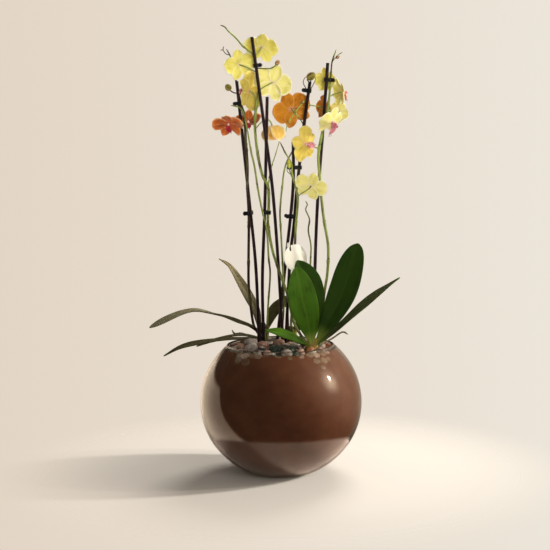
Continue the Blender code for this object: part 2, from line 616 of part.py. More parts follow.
def make_flower(name, finish):
    """Petals and sepals as one thin five-lobed dish, with the lip standing out of its middle."""
    centre, face, turn, span, bend, _, _ = FLOWERS[name]
    place = flower_frame(centre, face, turn)
    half = span * MM / 2
    rings = []
    for share in (0.45, 1.0):
        ring = []
        for i in range(PETAL_RIM_POINTS):
            angle = 360 * i / PETAL_RIM_POINTS
            reach = half * flower_reach(angle) * share
            sag = -bend * 2 * reach * reach / half
            ring.append(around(Vector((0, 0, sag)), reach, angle))
        rings.append(ring)
    shape = bmesh.new()
    faces_out = []
    for level in (-0.5, 0.5):
        lift = Vector((0, 0, level * PETAL_THICKNESS))
        hub = shape.verts.new(lift)
        inner, outer = ([shape.verts.new(p + lift) for p in ring] for ring in rings)
        for i in range(PETAL_RIM_POINTS):
            n = (i + 1) % PETAL_RIM_POINTS
            shape.faces.new((hub, inner[i], inner[n]))
            shape.faces.new((inner[i], outer[i], outer[n], inner[n]))
        faces_out.append(outer)
    for i in range(PETAL_RIM_POINTS):
        n = (i + 1) % PETAL_RIM_POINTS
        shape.faces.new((faces_out[0][i], faces_out[0][n], faces_out[1][n], faces_out[1][i]))
    bmesh.ops.recalc_face_normals(shape, faces=shape.faces)
    bmesh.ops.triangulate(shape, faces=shape.faces)
    bmesh.ops.transform(shape, matrix=place, verts=shape.verts)
    mesh = bpy.data.meshes.new(name)
    shape.to_mesh(mesh)
    shape.free()
    flower = add_object(name, mesh, finish)
    lip_way = place.to_3x3() @ Vector((0, -0.55, 0.83))
    lip_length = min(LIP_LENGTH, 0.6 * half)
    stand = 0.44 * lip_length - 0.2 * MM  # its back end just enters the petals
    lip = ball(f"lip_{name}", place @ Vector((0, -0.1 * half, stand)), lip_length, 0.6 * lip_length,
               lip_way, sides=6, rows=4)
    boolean(flower, "UNION", [helper(lip)])


# ---- Clips and tag ------------------------------------------------------------------------------
def routes_of(stem):
    """A stem's centre line and its radius."""
    return (STAKE_ROUTES[stem], STAKE_R) if stem in STAKES else (SPIKE_ROUTES[stem], SPIKE_R)


def oval_reach(radius, stretch, turn):
    """How far an oval of that end radius and half-length between ends reaches at an angle to its length."""
    c, s = abs(math.cos(turn)), abs(math.sin(turn))
    if s * stretch >= c * radius or s > 1e-6 and radius * c / s <= stretch:
        return radius / s
    return stretch * c + math.sqrt(max(0.0, radius**2 - (stretch * s) ** 2))


def make_clip(name, finish):
    """A sprung band round a stake and the spike against it, with a pair of round finger tabs."""
    stems, up, side = CLIPS[name]
    z = SOIL_TOP + up * MM
    spots = [at_height(routes_of(stem)[0], z) for stem in stems]
    middle = sum(spots, Vector()) / len(spots)
    inner = max(routes_of(stem)[1] for stem in stems) + CLIP_CLEARANCE
    along = spots[-1] - spots[0]
    stretch = along.length / 2
    turn = math.atan2(along.y, along.x)
    band = []
    for i in range(16):
        angle = math.tau * i / 16
        push = stretch if math.cos(angle) > 0 else -stretch
        for_radius = inner, inner + CLIP_BAND
        band.append([Vector((math.cos(angle) * r + push, math.sin(angle) * r, 0)) for r in for_radius])
    shape = bmesh.new()
    for level in (-0.5, 0.5):
        for inside, outside in band:
            for p in (inside, outside):
                shape.verts.new(p + Vector((0, 0, level * CLIP_HEIGHT)))
    verts = list(shape.verts)
    count = len(band)
    for i in range(count):
        n = (i + 1) % count
        corners = (2 * i, 2 * i + 1, 2 * n + 1, 2 * n)
        low = [verts[c] for c in corners]
        high = [verts[c + 2 * count] for c in corners]
        shape.faces.new(low)
        shape.faces.new(high)
        shape.faces.new((low[0], low[3], high[3], high[0]))
        shape.faces.new((low[1], low[2], high[2], high[1]))
    bmesh.ops.recalc_face_normals(shape, faces=shape.faces)
    lean = (routes_of(stems[0])[0])
    tilt = (at_height(lean, z + 10 * MM) - at_height(lean, z - 10 * MM)).to_track_quat("Z", "Y")
    place = Matrix.Translation(middle) @ tilt.to_matrix().to_4x4() @ Matrix.Rotation(
        turn - tilt.to_euler().z, 4, "Z")
    bmesh.ops.transform(shape, matrix=place, verts=shape.verts)
    mesh = bpy.data.meshes.new(name)
    shape.to_mesh(mesh)
    shape.free()
    clip = add_object(name, mesh, finish, smooth=False)
    out = Vector((math.cos(math.radians(side)), math.sin(math.radians(side)), 0))
    reach = oval_reach(inner + CLIP_BAND / 2, stretch, math.radians(side) - turn)
    tab = middle + out * (reach + CLIP_TAB_DIAMETER * 0.62)
    stub = tube(f"stub_{name}", [middle + out * reach, tab], [1.5 * MM, 1.5 * MM])
    pad = ball(f"tab_{name}", tab, CLIP_TAB_DIAMETER, CLIP_TAB_DIAMETER, (0, 0, 1), rows=5)
    boolean(clip, "UNION", [helper(add_object(f"stub_{name}", stub)), helper(pad)])


def make_tag(finish):
    """A round plant tag, hung on a stem by the notch in its top edge."""
    shape = bmesh.new()
    bmesh.ops.create_cone(shape, cap_ends=True, segments=28, radius1=TAG_DIAMETER / 2,
                          radius2=TAG_DIAMETER / 2, depth=TAG_THICKNESS)
    bmesh.ops.rotate(shape, matrix=Matrix.Rotation(math.radians(90), 3, "X"), verts=shape.verts)
    facing = Matrix.Rotation(math.radians(TAG_TURN), 4, "Z") @ Matrix.Rotation(-math.radians(TAG_TIP), 4, "X")
    place = Matrix.Translation(planted(TAG_CENTRE)) @ facing
    bmesh.ops.transform(shape, matrix=place, verts=shape.verts)
    mesh = bpy.data.meshes.new("plant_tag")
    shape.to_mesh(mesh)
    shape.free()
    tag = add_object("plant_tag", mesh, finish, smooth=False)
    notch = bmesh.new()
    bmesh.ops.create_cube(notch, size=1)
    size = Matrix.Diagonal((3 * MM, 8 * MM, TAG_DIAMETER * 0.5, 1))
    spot = Matrix.Translation((-0.2 * TAG_DIAMETER, 0, 0.52 * TAG_DIAMETER))
    bmesh.ops.transform(notch, matrix=place @ spot @ size, verts=notch.verts)
    cutter = bpy.data.meshes.new("tag_notch")
    notch.to_mesh(cutter)
    notch.free()
    boolean(tag, "DIFFERENCE", [helper(add_object("tag_notch", cutter))])


# ---- Sockets in the soil and the pebbles --------------------------------------------------------
def socket(name, start, end, radius, resolution):
    """A cutter round a stem, whose flats clear the stem by a little more than SEAT_GAP."""
    sides = 4 + 2 * resolution
    wide = (radius + SEAT_GAP + 0.1 * MM) / math.cos(math.pi / sides)
    mesh = tube(f"socket_{name}", [start, end], [wide, wide], resolution)
    return helper(add_object(mesh.name, mesh))


def make_sockets(soil, bed):
    """Cuts the soil and the pebbles for what stands in them: stakes, crowns and the spikes' feet."""
    above = Vector((0, 0, 3 * (BED_DEPTH + PEBBLE_HEIGHT)))
    below = Vector((0, 0, SEAT_GAP))
    stakes = []
    for name, route in STAKE_ROUTES.items():
        way = (route[1] - route[0]).normalized()
        stakes.append(socket(name, route[0] - way * SEAT_GAP, route[1] + way * above.z, STAKE_R, 2))
    feet, clearings = [], []
    for name, route in SPIKE_ROUTES.items():
        feet.append(socket(name, route[0] - below, route[0] + above, SPIKE_R, 1))
    for name in CROWNS:
        centre = crown_centre(name)
        buried = Vector((0, 0, CROWN_BURIED)) + below
        feet.append(socket(name, centre - buried, centre + above, CROWN_R, 3))
        clearings.append(socket(f"{name}_clearing", centre - buried, centre + above,
                                CROWN_R + SPIKE_DIAMETER + 3 * SEAT_GAP, 3))
    boolean(soil, "DIFFERENCE", stakes + feet)
    boolean(bed, "DIFFERENCE", stakes + clearings)


def main():
    clear_scene()
    wood = material("stake_purple_brown", (0.03, 0.012, 0.016), 0.5)
    green = material("spike_green", (0.12, 0.16, 0.03), 0.45)
    dark = material("spike_dark", (0.04, 0.035, 0.014), 0.5)
    leaf = material("leaf_green", (0.05, 0.13, 0.015), 0.35)
    olive = material("leaf_olive", (0.07, 0.08, 0.03), 0.45)
    yellow = material("petal_yellow", (0.8, 0.7, 0.12), 0.5)
    orange = material("petal_orange", (0.75, 0.3, 0.05), 0.5)
    black = material("clip_black", (0.01, 0.012, 0.012), 0.35)
    card = material("tag_card", (0.85, 0.82, 0.72), 0.6)
    root = material("root_grey", (0.16, 0.14, 0.09), 0.7)
    make_bowl()
    soil = make_soil()
    bed = make_pebble_bed()
    make_sockets(soil, bed)
    for name in STAKES:
        make_stake(name, wood)
    for name in SPIKES:
        make_spike(name, dark if name in ("spike_left", "spike_leaning") else green)
    for name in CROWNS:
        make_crown(name, olive)
    for name in LEAVES:
        make_leaf(name, leaf if name.startswith("leaf_right") else olive)
    for name in ROOTS:
        make_root(name, root)
    for name in FLOWERS:
        make_flower(name, orange if name in ("flower_05", "flower_06", "flower_08", "flower_09") else yellow)
    for name in CLIPS:
        make_clip(name, black)
    make_tag(card)


main()
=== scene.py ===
"""Potted orchid, finished: three moth orchids planted together in a clear glass globe of potting soil.

Metres, +Z up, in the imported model's frame: -Y is the front and +X the right. What grows above the soil is
placed as in the part's planting plan, (right, back, up) in mm from the middle of the soil's surface.
"""

import math
import random

import bmesh
import bpy
from mathutils import Matrix, Vector, noise


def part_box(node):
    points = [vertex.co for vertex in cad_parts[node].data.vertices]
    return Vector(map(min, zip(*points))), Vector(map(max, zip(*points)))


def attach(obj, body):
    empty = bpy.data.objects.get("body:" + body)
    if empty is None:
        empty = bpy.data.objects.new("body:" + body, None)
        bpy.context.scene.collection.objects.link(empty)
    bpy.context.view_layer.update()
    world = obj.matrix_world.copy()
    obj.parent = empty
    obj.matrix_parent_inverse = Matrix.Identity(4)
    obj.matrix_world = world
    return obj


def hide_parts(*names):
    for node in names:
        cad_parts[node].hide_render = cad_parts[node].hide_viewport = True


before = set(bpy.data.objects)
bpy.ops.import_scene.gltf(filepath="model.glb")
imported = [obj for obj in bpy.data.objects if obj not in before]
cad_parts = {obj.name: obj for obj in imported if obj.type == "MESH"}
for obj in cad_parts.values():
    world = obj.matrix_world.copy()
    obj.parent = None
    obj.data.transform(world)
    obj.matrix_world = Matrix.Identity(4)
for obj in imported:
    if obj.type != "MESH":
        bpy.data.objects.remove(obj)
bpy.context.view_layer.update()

MM = 0.001
BODY = "root"
ORIGIN = Vector((0, 0, 0))
UP = Vector((0, 0, 1))
SHARP = math.radians(40)  # edges that bend more than this stay crisp

# ---- Sizes, in metres: what the frame gives, then what it can't -----------------------------------
BOWL_LOW, BOWL_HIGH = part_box("glass_bowl")
BOWL_R = (BOWL_HIGH.x - BOWL_LOW.x) / 2
BOWL_HEIGHT = BOWL_HIGH.z
SOIL_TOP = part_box("potting_soil")[1].z
MOUTH_R = 81 * MM  # outside of the rim
FOOT_R = 52 * MM  # flat foot
GLASS_WALL = 4 * MM
GLASS_BASE = 9 * MM
FOOT_KICK = 1.5 * MM  # hollow under the foot
WALL_STEPS = 60  # rings up the globe's wall, and how many sides it is turned with
TURNED_SIDES = 128
SEAT_GAP = 0.3 * MM
STAKE_R = 2.6 * MM
STAKE_BURIED = 110 * MM
STAKE_JOINTS = 96 * MM  # from one ring of the bamboo to the next
SPIKE_R = 2.1 * MM
SPIKE_TIP_R = 0.9 * MM
SPIKE_JOINTS = 58 * MM  # from one bract to the next
STALK_R = 0.95 * MM
STALK_STEPS = 12
CROWN_R = 7.5 * MM
LEAF_THICKNESS = 2.2 * MM
PETAL_THICKNESS = 0.7 * MM
STEM_GAP = 1.4 * MM  # between a stake and a spike tied against it
CLIP_BAND = 1.1 * MM  # the band's thickness, and its height
CLIP_HEIGHT = 6 * MM
CLIP_PAD_R = 3.1 * MM
TAG_R = 20.5 * MM
TAG_THICKNESS = 0.9 * MM
TAG_TURN = 32  # degrees that its face turns to the right, and tips up
TAG_TIP = 8

# ---- Planting plan ----------------------------------------------------------------------------------
CROWNS = {  # (right, back), height above the soil
    "crown_left": ((-26, 34), 34),
    "crown_middle": ((18, 46), 26),
    "crown_right": ((49, -24), 20),
}
# A stem's point is (right, back, up), or ("beside", stake, up, side, room), which lies that much room in
# mm off that stake; side is in degrees, 0 to the right and 90 to the back.
STAKES = {  # top to foot
    "stake_left": [(-63, 6, 411), (-47, 10, 240), (-37, 13, 127), (-33, 16, 0)],
    "stake_front": [(-39, -8, 476), (-21, -6, 337), (-10, -2, 246), (-2, 6, 127), (4, 22, 0)],
    "stake_centre": [(-17, 4, 387), (-22, 5, 225), (-27, 12, 107), (-26, 18, 0)],
    "stake_short": [(22, 6, 319), (21, 6, 246), (9, 14, 134), (-6, 34, 0)],
    "stake_leaning": [(48, 6, 409), (39, 6, 347), ("beside", "stake_short", 250, 15),
                      ("beside", "stake_short", 190, 10), ("beside", "stake_short", 134, 5), (8, 32, 0)],
    "stake_right": [(75, 4, 437), (67, 4, 335), (57, 4, 200), (50, 4, 0)],
}
SPIKES = {  # crown and side of the foot, thickness as a share of the full one, route from the foot up
    "spike_left": ("crown_left", 262, 1.0, [
        (-38, 22, 28), (-43, 15, 45), (-48, 9, 95), (-48, 8, 139), (-47, 5, 186), (-47, 4, 214),
        ("beside", "stake_left", 250, 265), ("beside", "stake_left", 284, 300),
        ("beside", "stake_left", 322, 315), ("beside", "stake_left", 356, 350),
        ("beside", "stake_left", 385, 75), (-64, 15, 408), (-66, 32, 430), (-73, 36, 450),
        (-79, 35, 461)]),
    "spike_thin": ("crown_left", 300, 0.7, [
        (-19, 17, 60), (-15, 9, 115), (-17, -1, 142), (-18, -6, 165), (-20, -7, 190), (-25, -5, 210),
        (-32, -4, 246), (-37, -3, 281), (-42, -3, 304), (-47, -2, 334), (-51, -2, 354),
        (-57, -2, 370), (-72, -2, 375)]),
    "spike_arching": ("crown_right", 172, 1.0, [
        (31, -23, 26), (20, -20, 47), (12, -17, 85), (0, -9, 120), (-11, 0, 154),
        ("beside", "stake_centre", 195, 345), ("beside", "stake_centre", 225, 350),
        (-17, 0, 252), (-25, -2, 268), (-32, -1, 300), (-36, 0, 341), (-34, -1, 370),
        ("beside", "stake_front", 400, 95), ("beside", "stake_front", 446, 100),
        (-45, -2, 457), (-54, -4, 464), (-62, -5, 474), (-73, -7, 484), (-80, -8, 492),
        (-86, -8, 494)]),
    "spike_upright": ("crown_middle", 205, 0.7, [
        (4, 29, 30), (5, 20, 50), (6, 14, 74), (5, 10, 117), (2, 12, 185), (1, 13, 211), (4, 14, 244),
        (10, 14, 283), (25, 14, 311), (31, 14, 317)]),
    "spike_crossing": ("crown_middle", 285, 0.9, [
        (17, 29, 35), (19, 20, 67), (21, 8, 107), (23, 1, 150), (25, -3, 192),
        (28, -4, 226), (27, -4, 244), (20, -3, 270), (19, -2, 286), (9, -1, 304), (2, 0, 319)]),
    "spike_leaning": ("crown_middle", 120, 0.9, [
        (12, 44, 60), ("beside", "stake_leaning", 134, 80), ("beside", "stake_leaning", 190, 90, 3),
        (27, 18, 250), (32, 18, 290), ("beside", "stake_leaning", 340, 100),
        ("beside", "stake_leaning", 398, 100), (50, 13, 412)]),
    "spike_right": ("crown_right", 52, 1.0, [
        (60, -8, 30), (68, -5, 89), (73, -4, 121), (74, -3, 161), (68, -2, 200),
        ("beside", "stake_right", 238, 315), ("beside", "stake_right", 268, 270),
        (60, -4, 301), (67, -4, 337), ("beside", "stake_right", 368, 330),
        ("beside", "stake_right", 395, 0), ("beside", "stake_right", 426, 0),
        (82, 3, 441), (88, 2, 457)]),
    "spike_bare": ("crown_right", 138, 0.6, [
        (46, -9, 32), (48, -4, 78), (47, -1, 131), (48, 1, 160), (44, 2, 184), (46, 2, 201),
        (40, 2, 216), (43, 2, 223), (40, 2, 229)]),
}
# Flowers: face centre, the way the face looks, its turn about that, its span and how far the petals bend
# back (below 0: forward), the spike that bears it and how high up on it, then its colouring.
FLOWERS = {
    "flower_01": ((-25, 20, 463), (0.15, 0.85, 0.5), 10, 54, 0.10, "spike_arching", 446, "lemon"),
    "flower_02": ((-58, 10, 436), (-0.3, 0.92, 0.15), -15, 50, 0.06, "spike_arching", 423, "lemon"),
    "flower_03": ((-45, 12, 396), (-0.75, 0.65, 0.0), 84, 62, 0.08, "spike_arching", 362, "gold"),
    "flower_04": ((-8, 14, 409), (0.2, 0.95, 0.1), 20, 62, 0.08, "spike_arching", 396, "primrose"),
    "flower_05": ((-75, -17, 347), (-0.2, -0.66, -0.72), 0, 50, -0.14, "spike_left", 345, "flame"),
    "flower_06": ((-47, 28, 351), (0.2, -0.62, -0.75), 10, 44, 0.12, "spike_left", 370, "flame"),
    "flower_07": ((-10, 35, 343), (0.2, 0.05, -0.97), 0, 42, -0.6, "spike_arching", 338, "honey"),
    "flower_08": ((20, 26, 369), (-0.2, 0.95, 0.15), -30, 62, 0.10, "spike_leaning", 345, "orange"),
    "flower_09": ((72, 36, 371), (0.85, 0.52, 0.0), 0, 40, 0.12, "spike_leaning", 374, "orange"),
    "flower_10": ((74, 31, 413), (0.6, 0.8, 0.1), 0, 40, 0.12, "spike_right", 399, "lemon"),
    "flower_11": ((96, 5, 393), (0.9, 0.3, 0.1), 0, 46, 0.12, "spike_right", 386, "lemon"),
    "flower_12": ((94, 24, 364), (0.5, 0.85, 0.1), 30, 35, 0.10, "spike_right", 366, "primrose"),
    "flower_13": ((80, -26, 349), (0.6, -0.55, -0.6), 0, 48, 0.10, "spike_right", 320, "primrose"),
    "flower_14": ((40, -26, 316), (0.72, -0.68, -0.1), 80, 56, 0.06, "spike_right", 308, "gold"),
    "flower_15": ((48, -20, 253), (0.25, 0.85, 0.45), 25, 50, 0.0, "spike_crossing", 236, "primrose"),
}
# Buds: centre, length, width, the way the bud points, its spike and how high up on it.
BUDS = {
    "bud_left": ((-76, 4, 402), 11, 10, (-0.6, 0, 0.8), "spike_left", 392),
    "bud_top": ((-1, -8, 438), 9, 7, (0.6, 0, 0.8), "spike_arching", 430),
    "bud_small": ((90, 2, 446), 7, 5, (0.9, 0, 0.4), "spike_right", 434),
    "bud_green": ((15, -9, 286), 13, 7, (-0.1, 0, 1), "spike_crossing", 256),
    "bud_leaning": ((50, 12, 418), 15, 12, (0.8, 0, 0.6), "spike_leaning", 408),
}
TWIGS = {  # bare side twigs of a spike: (height of the fork, points)
    "spike_arching": [(252, [(-12, 6, 279), (-5, 8, 300), (1, 9, 320)])],
    "spike_leaning": [(378, [(38, 9, 380), (36, 0, 377), (30, -4, 370), (14, -8, 347), (11, -8, 335)])],
}
# Dry stalks that buds have dropped from, too fine for the part: their points
WISPS = {
    "spike_leaning": [[(43, 12, 398), (38, 12, 408), (40, 12, 415), (44, 12, 418)],
                      [(49, 12, 398), (54, 12, 407), (57, 12, 414), (55, 12, 418)]],
    "spike_left": [[(-75, 36, 452), (-80, 36, 454), (-85, 36, 460), (-88, 36, 459)],
                   [(-84, 36, 458), (-84, 36, 462), (-83, 36, 465)]],
    "spike_right": [[(86, 2, 445), (92, 2, 450), (97, 2, 453)]],
    "spike_crossing": [[(21, -3, 268), (13, -6, 274), (12, -7, 282)]],
}
# Leaves: crown and side in degrees, height of the base, route, width, the way the upper face looks near
# the base and near the tip, how far along it is widest, and how sharp its tip is (0.5 round, 1 pointed).
LEAVES = {
    "leaf_left_long": ("crown_left", 185, 22, [(-47, 29, 33), (-63, 23, 40), (-84, 18, 49), (-109, 13, 56),
        (-130, 10, 60), (-150, 8, 57), (-173, 4, 49), (-202, 0, 36)],
        25, (0.1, 0.6, 0.8), (-0.2, -0.5, 0.85), 0.7, 0.7),
    "leaf_left_upper": ("crown_left", 145, 27, [(-38, 40, 56), (-50, 41, 80), (-63, 42, 102),
        (-79, 42, 127), (-95, 40, 138)], 17, (0.3, -0.9, 0.25), (0.6, -0.7, 0.3), 0.36, 0.9),
    "leaf_left_low": ("crown_left", 198, 15, [(-58, 24, 14), (-78, 18, 14), (-116, 10, 12), (-151, 4, 5),
        (-181, -2, -8)], 17, (0, -0.1, 1), (0, -0.3, 1), 0.55, 0.8),
    "leaf_left_under": ("crown_left", 155, 13, [(-56, 44, 16), (-80, 42, 15), (-106, 38, 8), (-132, 34, 1)],
        15, (0, -0.1, 1), (0, -0.1, 1), 0.55, 0.8),
    "leaf_left_back": ("crown_left", 40, 27, [(-9, 50, 54), (5, 56, 65), (20, 60, 69), (42, 64, 63)],
        24, (-0.3, -0.5, 0.8), (0.1, -0.6, 0.8), 0.5, 0.7),
    "leaf_middle": ("crown_middle", 60, 17, [(32, 62, 30), (44, 72, 40), (58, 82, 44)],
        22, (-0.2, -0.5, 0.9), (0, -0.5, 0.9), 0.5, 0.7),
    "leaf_right_front": ("crown_right", 262, 14, [(41, -38, 51), (34, -41, 82), (30, -41, 105),
        (25, -38, 132)], 44, (-0.1, -0.95, 0.3), (0.1, -0.95, 0.2), 0.56, 0.6),
    "leaf_right_rear": ("crown_right", 98, 16, [(49, -13, 48), (46, -14, 79), (41, -16, 110),
        (26, -20, 140)], 46, (0.25, -0.95, 0.2), (0.2, -0.95, 0.2), 0.56, 0.6),
    "leaf_right_broad": ("crown_right", 8, 14, [(79, -18, 55), (97, -8, 92), (110, 2, 130), (121, 8, 163)],
        46, (-0.1, -0.95, 0.3), (-0.4, -0.9, 0.2), 0.62, 0.52),
    "leaf_right_long": ("crown_right", 318, 12, [(68, -34, 22), (102, -36, 51), (127, -37, 73),
        (149, -38, 92), (181, -38, 115)], 25, (-0.5, -0.3, 0.85), (-0.45, -0.35, 0.8), 0.5, 0.9),
    "leaf_right_low": ("crown_right", 215, 12, [(28, -46, 21), (14, -52, 29), (-2, -56, 35), (-23, -58, 39)],
        22, (0.1, -0.5, 0.85), (0.3, -0.5, 0.85), 0.5, 0.7),
}
ROOTS = {  # aerial roots: crown and side, height, route, diameter
    "root_left": ("crown_left", 228, 13, [(-46, 22, 17), (-60, 19, 23), (-71, 17, 23), (-75, 16, 29)], 3.0),
    "root_right": ("crown_right", 345, 10, [(68, -17, 14), (80, -12, 19), (95, -9, 28), (104, -7, 24)], 2.6),
}
CLIPS = {  # the stems that each holds, height, and the side its finger pads stand on
    "clip_1": (["stake_left", "spike_left"], 211, 180),
    "clip_2": (["stake_left", "spike_left"], 378, 190),
    "clip_3": (["stake_centre", "spike_arching"], 212, 280),
    "clip_4": (["stake_front", "spike_arching"], 434, 355),
    "clip_5": (["stake_short", "stake_leaning"], 280, 200),
    "clip_6": (["stake_short", "stake_leaning"], 205, 195),
    "clip_7": (["stake_right", "spike_right"], 250, 20),
    "clip_8": (["stake_leaning", "spike_leaning"], 396, 200),
    "clip_9": (["stake_right", "spike_right"], 412, 300),
}
TAG_CENTRE = (24, -9, 143)


# ---- Places and curves ------------------------------------------------------------------------------
def planted(point):
    """A plan point, in mm from the middle of the soil's surface, as a place in metres."""
    return Vector((point[0] * MM, point[1] * MM, SOIL_TOP + point[2] * MM))


def around(centre, radius, side):
    """The place at that radius round a centre, side in degrees from the right."""
    turn = math.radians(side)
    return centre + Vector((radius * math.cos(turn), radius * math.sin(turn), 0))


def curve_through(points, step):
    """Points along one smooth (Catmull-Rom) curve through the given ones."""
    ends = [2 * points[0] - points[1], *points, 2 * points[-1] - points[-2]]
    made = [points[0]]
    for a, b, c, d in zip(ends, ends[1:], ends[2:], ends[3:]):
        parts = max(1, round((c - b).length / step))
        for i in range(1, parts + 1):
            t = i / parts
            made.append(0.5 * (2 * b + (c - a) * t + (2 * a - 5 * b + 4 * c - d) * t**2
                               + (3 * b - a - 3 * c + d) * t**3))
    return made


def at_height(route, height):
    """The point of a route at that height, on its first stretch that passes it."""
    for a, b in zip(route, route[1:]):
        if (a.z - height) * (b.z - height) <= 0 and a.z != b.z:
            return a.lerp(b, (height - a.z) / (b.z - a.z))
    return min(route, key=lambda p: abs(p.z - height))


def along_route(route, share):
    """The point at that share of a route's points, and the way the route runs there."""
    spot = share * (len(route) - 1)
    i = min(int(spot), len(route) - 2)
    ahead, behind = route[min(i + 2, len(route) - 1)], route[max(i - 1, 0)]
    return route[i].lerp(route[i + 1], spot - i), (ahead - behind).normalized()


def stem_points(plan, radius):
    """A stem's plan as places, where radius is the stem's own."""
    points = []
    for spot in plan:
        if spot[0] == "beside":
            _, stake, up, side, *room = spot
            against = at_height(STAKE_ROUTES[stake], SOIL_TOP + up * MM)
            points.append(around(against, STAKE_R + radius + STEM_GAP + sum(room) * MM, side))
        else:
            points.append(planted(spot))
    return points


def crown_centre(name):
    """The middle of a crown, at the soil's surface."""
    (right, back), _ = CROWNS[name]
    return planted((right, back, 0))


STAKE_ROUTES = {}
for stake_name, stake_plan in STAKES.items():
    STAKE_ROUTES[stake_name] = curve_through(stem_points(stake_plan[::-1], STAKE_R), 60 * MM)
SPIKE_ROUTES = {}
for spike_name, (foot_crown, foot_side, _, spike_plan) in SPIKES.items():
    foot = around(crown_centre(foot_crown), CROWN_R + SPIKE_R + 2 * SEAT_GAP, foot_side)
    first = [foot - Vector((0, 0, 5 * MM)), foot + Vector((0, 0, 13 * MM))]
    SPIKE_ROUTES[spike_name] = curve_through(first + stem_points(spike_plan, SPIKE_R), 4 * MM)


# ---- Tools for shapes -------------------------------------------------------------------------------
def in_scene(name, data):
    """A new object in the scene, of a mesh, a lamp or a camera, or of a bmesh that it uses up."""
    if isinstance(data, bmesh.types.BMesh):
        mesh = bpy.data.meshes.new(name)
        data.to_mesh(mesh)
        data.free()
        data = mesh
    made = bpy.data.objects.new(name, data)
    bpy.context.scene.collection.objects.link(made)
    return made


def finish_piece(name, shape, materials, replaces=()):
    """Turns a bmesh into a piece that rides on the pot, with its materials."""
    piece = in_scene(name, shape)
    for made in materials:
        piece.data.materials.append(made)
    piece.data.shade_smooth()
    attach(piece, BODY)
    if replaces:
        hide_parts(*replaces)
    return piece


def new_shape():
    """A bmesh whose faces carry UVs."""
    shape = bmesh.new()
    shape.loops.layers.uv.new("UVMap")
    return shape


def turned(degrees, axis):
    """A turn about X, Y or Z."""
    return Matrix.Rotation(math.radians(degrees), 4, axis)


def pointing_to(way):
    """A turn that brings Z to that way."""
    return way.to_track_quat("Z", "Y").to_matrix().to_4x4()


def set_to(right, up, out):
    """A turn that brings X, Y and Z to those ways."""
    return Matrix((right, up, out)).transposed().to_4x4()


def edges_of(verts):
    """The edges that meet at those points."""
    return list({edge for vert in verts for edge in vert.link_edges})


def paint(verts, material):
    """Gives the faces round those points a material slot."""
    for face in {face for vert in verts for face in vert.link_faces}:
        face.material_index = material


def spun(shape, profile, sides):
    """A closed solid turned about Z from an (r, z) profile that starts and ends on the axis."""
    verts = [shape.verts.new((r, 0, z)) for r, z in profile]
    edges = [shape.edges.new(pair) for pair in zip(verts, verts[1:])]
    bmesh.ops.spin(shape, geom=verts + edges, axis=(0, 0, 1), cent=(0, 0, 0), angle=math.tau,
                   steps=sides, use_merge=True)
    bmesh.ops.remove_doubles(shape, verts=shape.verts, dist=1e-6)
    bmesh.ops.recalc_face_normals(shape, faces=shape.faces)


def tube(shape, route, radii, sides=12, material=0):
    """A round stem: a ring of points at each place on the route, bridged to the next, with closed ends."""
    rings = []
    faces_before = set(shape.faces)
    for i, (place, radius) in enumerate(zip(route, radii)):
        way = route[min(i + 1, len(route) - 1)] - route[max(i - 1, 0)]
        made = bmesh.ops.create_circle(shape, segments=sides, radius=radius,
                                       matrix=Matrix.Translation(place) @ pointing_to(way))
        rings.append(edges_of(made["verts"]))
    for low, high in zip(rings, rings[1:]):
        bmesh.ops.bridge_loops(shape, edges=low + high)
    for ring in (rings[0], rings[-1]):
        bmesh.ops.contextual_create(shape, geom=ring)
    made_faces = [face for face in shape.faces if face not in faces_before]
    for face in made_faces:
        face.material_index = material
    bmesh.ops.recalc_face_normals(shape, faces=made_faces)


def blade(shape, place, length, half_width, arch=0.0, cup=0.0, claw=0.16, widest=0.5, tip=0.5,
          ruffle=0.0, phase=0.0, groove=0.0, rows=12, columns=8, material=0):
    """A petal, sepal, lobe or scale grown from a grid, Y from its claw to its tip and Z its face.

    arch is how far it bends back from claw to tip, in radians, cup how far its sides fall back as a share
    of its half width, tip the power that rounds (0.5) or points (1) its end, and ruffle a wave of its rim.
    """
    made = bmesh.ops.create_grid(shape, x_segments=columns, y_segments=rows, size=1, calc_uvs=True)
    for vert in made["verts"]:
        across = vert.co.x
        along = (1 - math.cos(math.pi * (vert.co.y + 1) / 2)) / 2
        if along < widest:
            width = claw + (1 - claw) * math.sin(math.pi / 2 * along / widest)
        else:
            width = max(0.08, (1 - ((along - widest) / (1 - widest)) ** 2) ** tip)
        x = across * half_width * width
        bend = arch * along
        radius = length / arch if abs(arch) > 1e-3 else 0
        y = radius * math.sin(bend) if radius else length * along
        z = -radius * (1 - math.cos(bend)) if radius else 0
        fall = -cup * half_width * width * across**2
        fall += ruffle * across**2 * math.sin(phase + 7 * along + 2 * across) * along
        fall -= groove * math.exp(-((x / (0.9 * MM)) ** 2)) * (1 - along)
        vert.co = Vector((x, y + fall * math.sin(bend), z + fall * math.cos(bend)))
    paint(made["verts"], material)
    bmesh.ops.transform(shape, matrix=place, verts=made["verts"])
    return made["verts"]


def egg(shape, centre, length, width, pointing, sides=16, rows=12, seams=0.0, material=0):
    """An egg-shaped body, its length along pointing, its outline a little fuller below; seams puckers it in
    three where sepals meet."""
    made = bmesh.ops.create_uvsphere(shape, u_segments=sides, v_segments=rows, radius=0.5)
    for vert in made["verts"]:
        high = vert.co.z + 0.5
        turn = math.atan2(vert.co.y, vert.co.x)
        swell = (1.06 - 0.28 * high**2) * (1 - seams * (0.5 + 0.5 * math.cos(3 * turn)) ** 4)
        vert.co.x *= swell
        vert.co.y *= swell
    paint(made["verts"], material)
    size = Matrix.Diagonal((width, width, length, 1))
    place = Matrix.Translation(centre) @ pointing_to(Vector(pointing)) @ size
    bmesh.ops.transform(shape, matrix=place, verts=made["verts"])


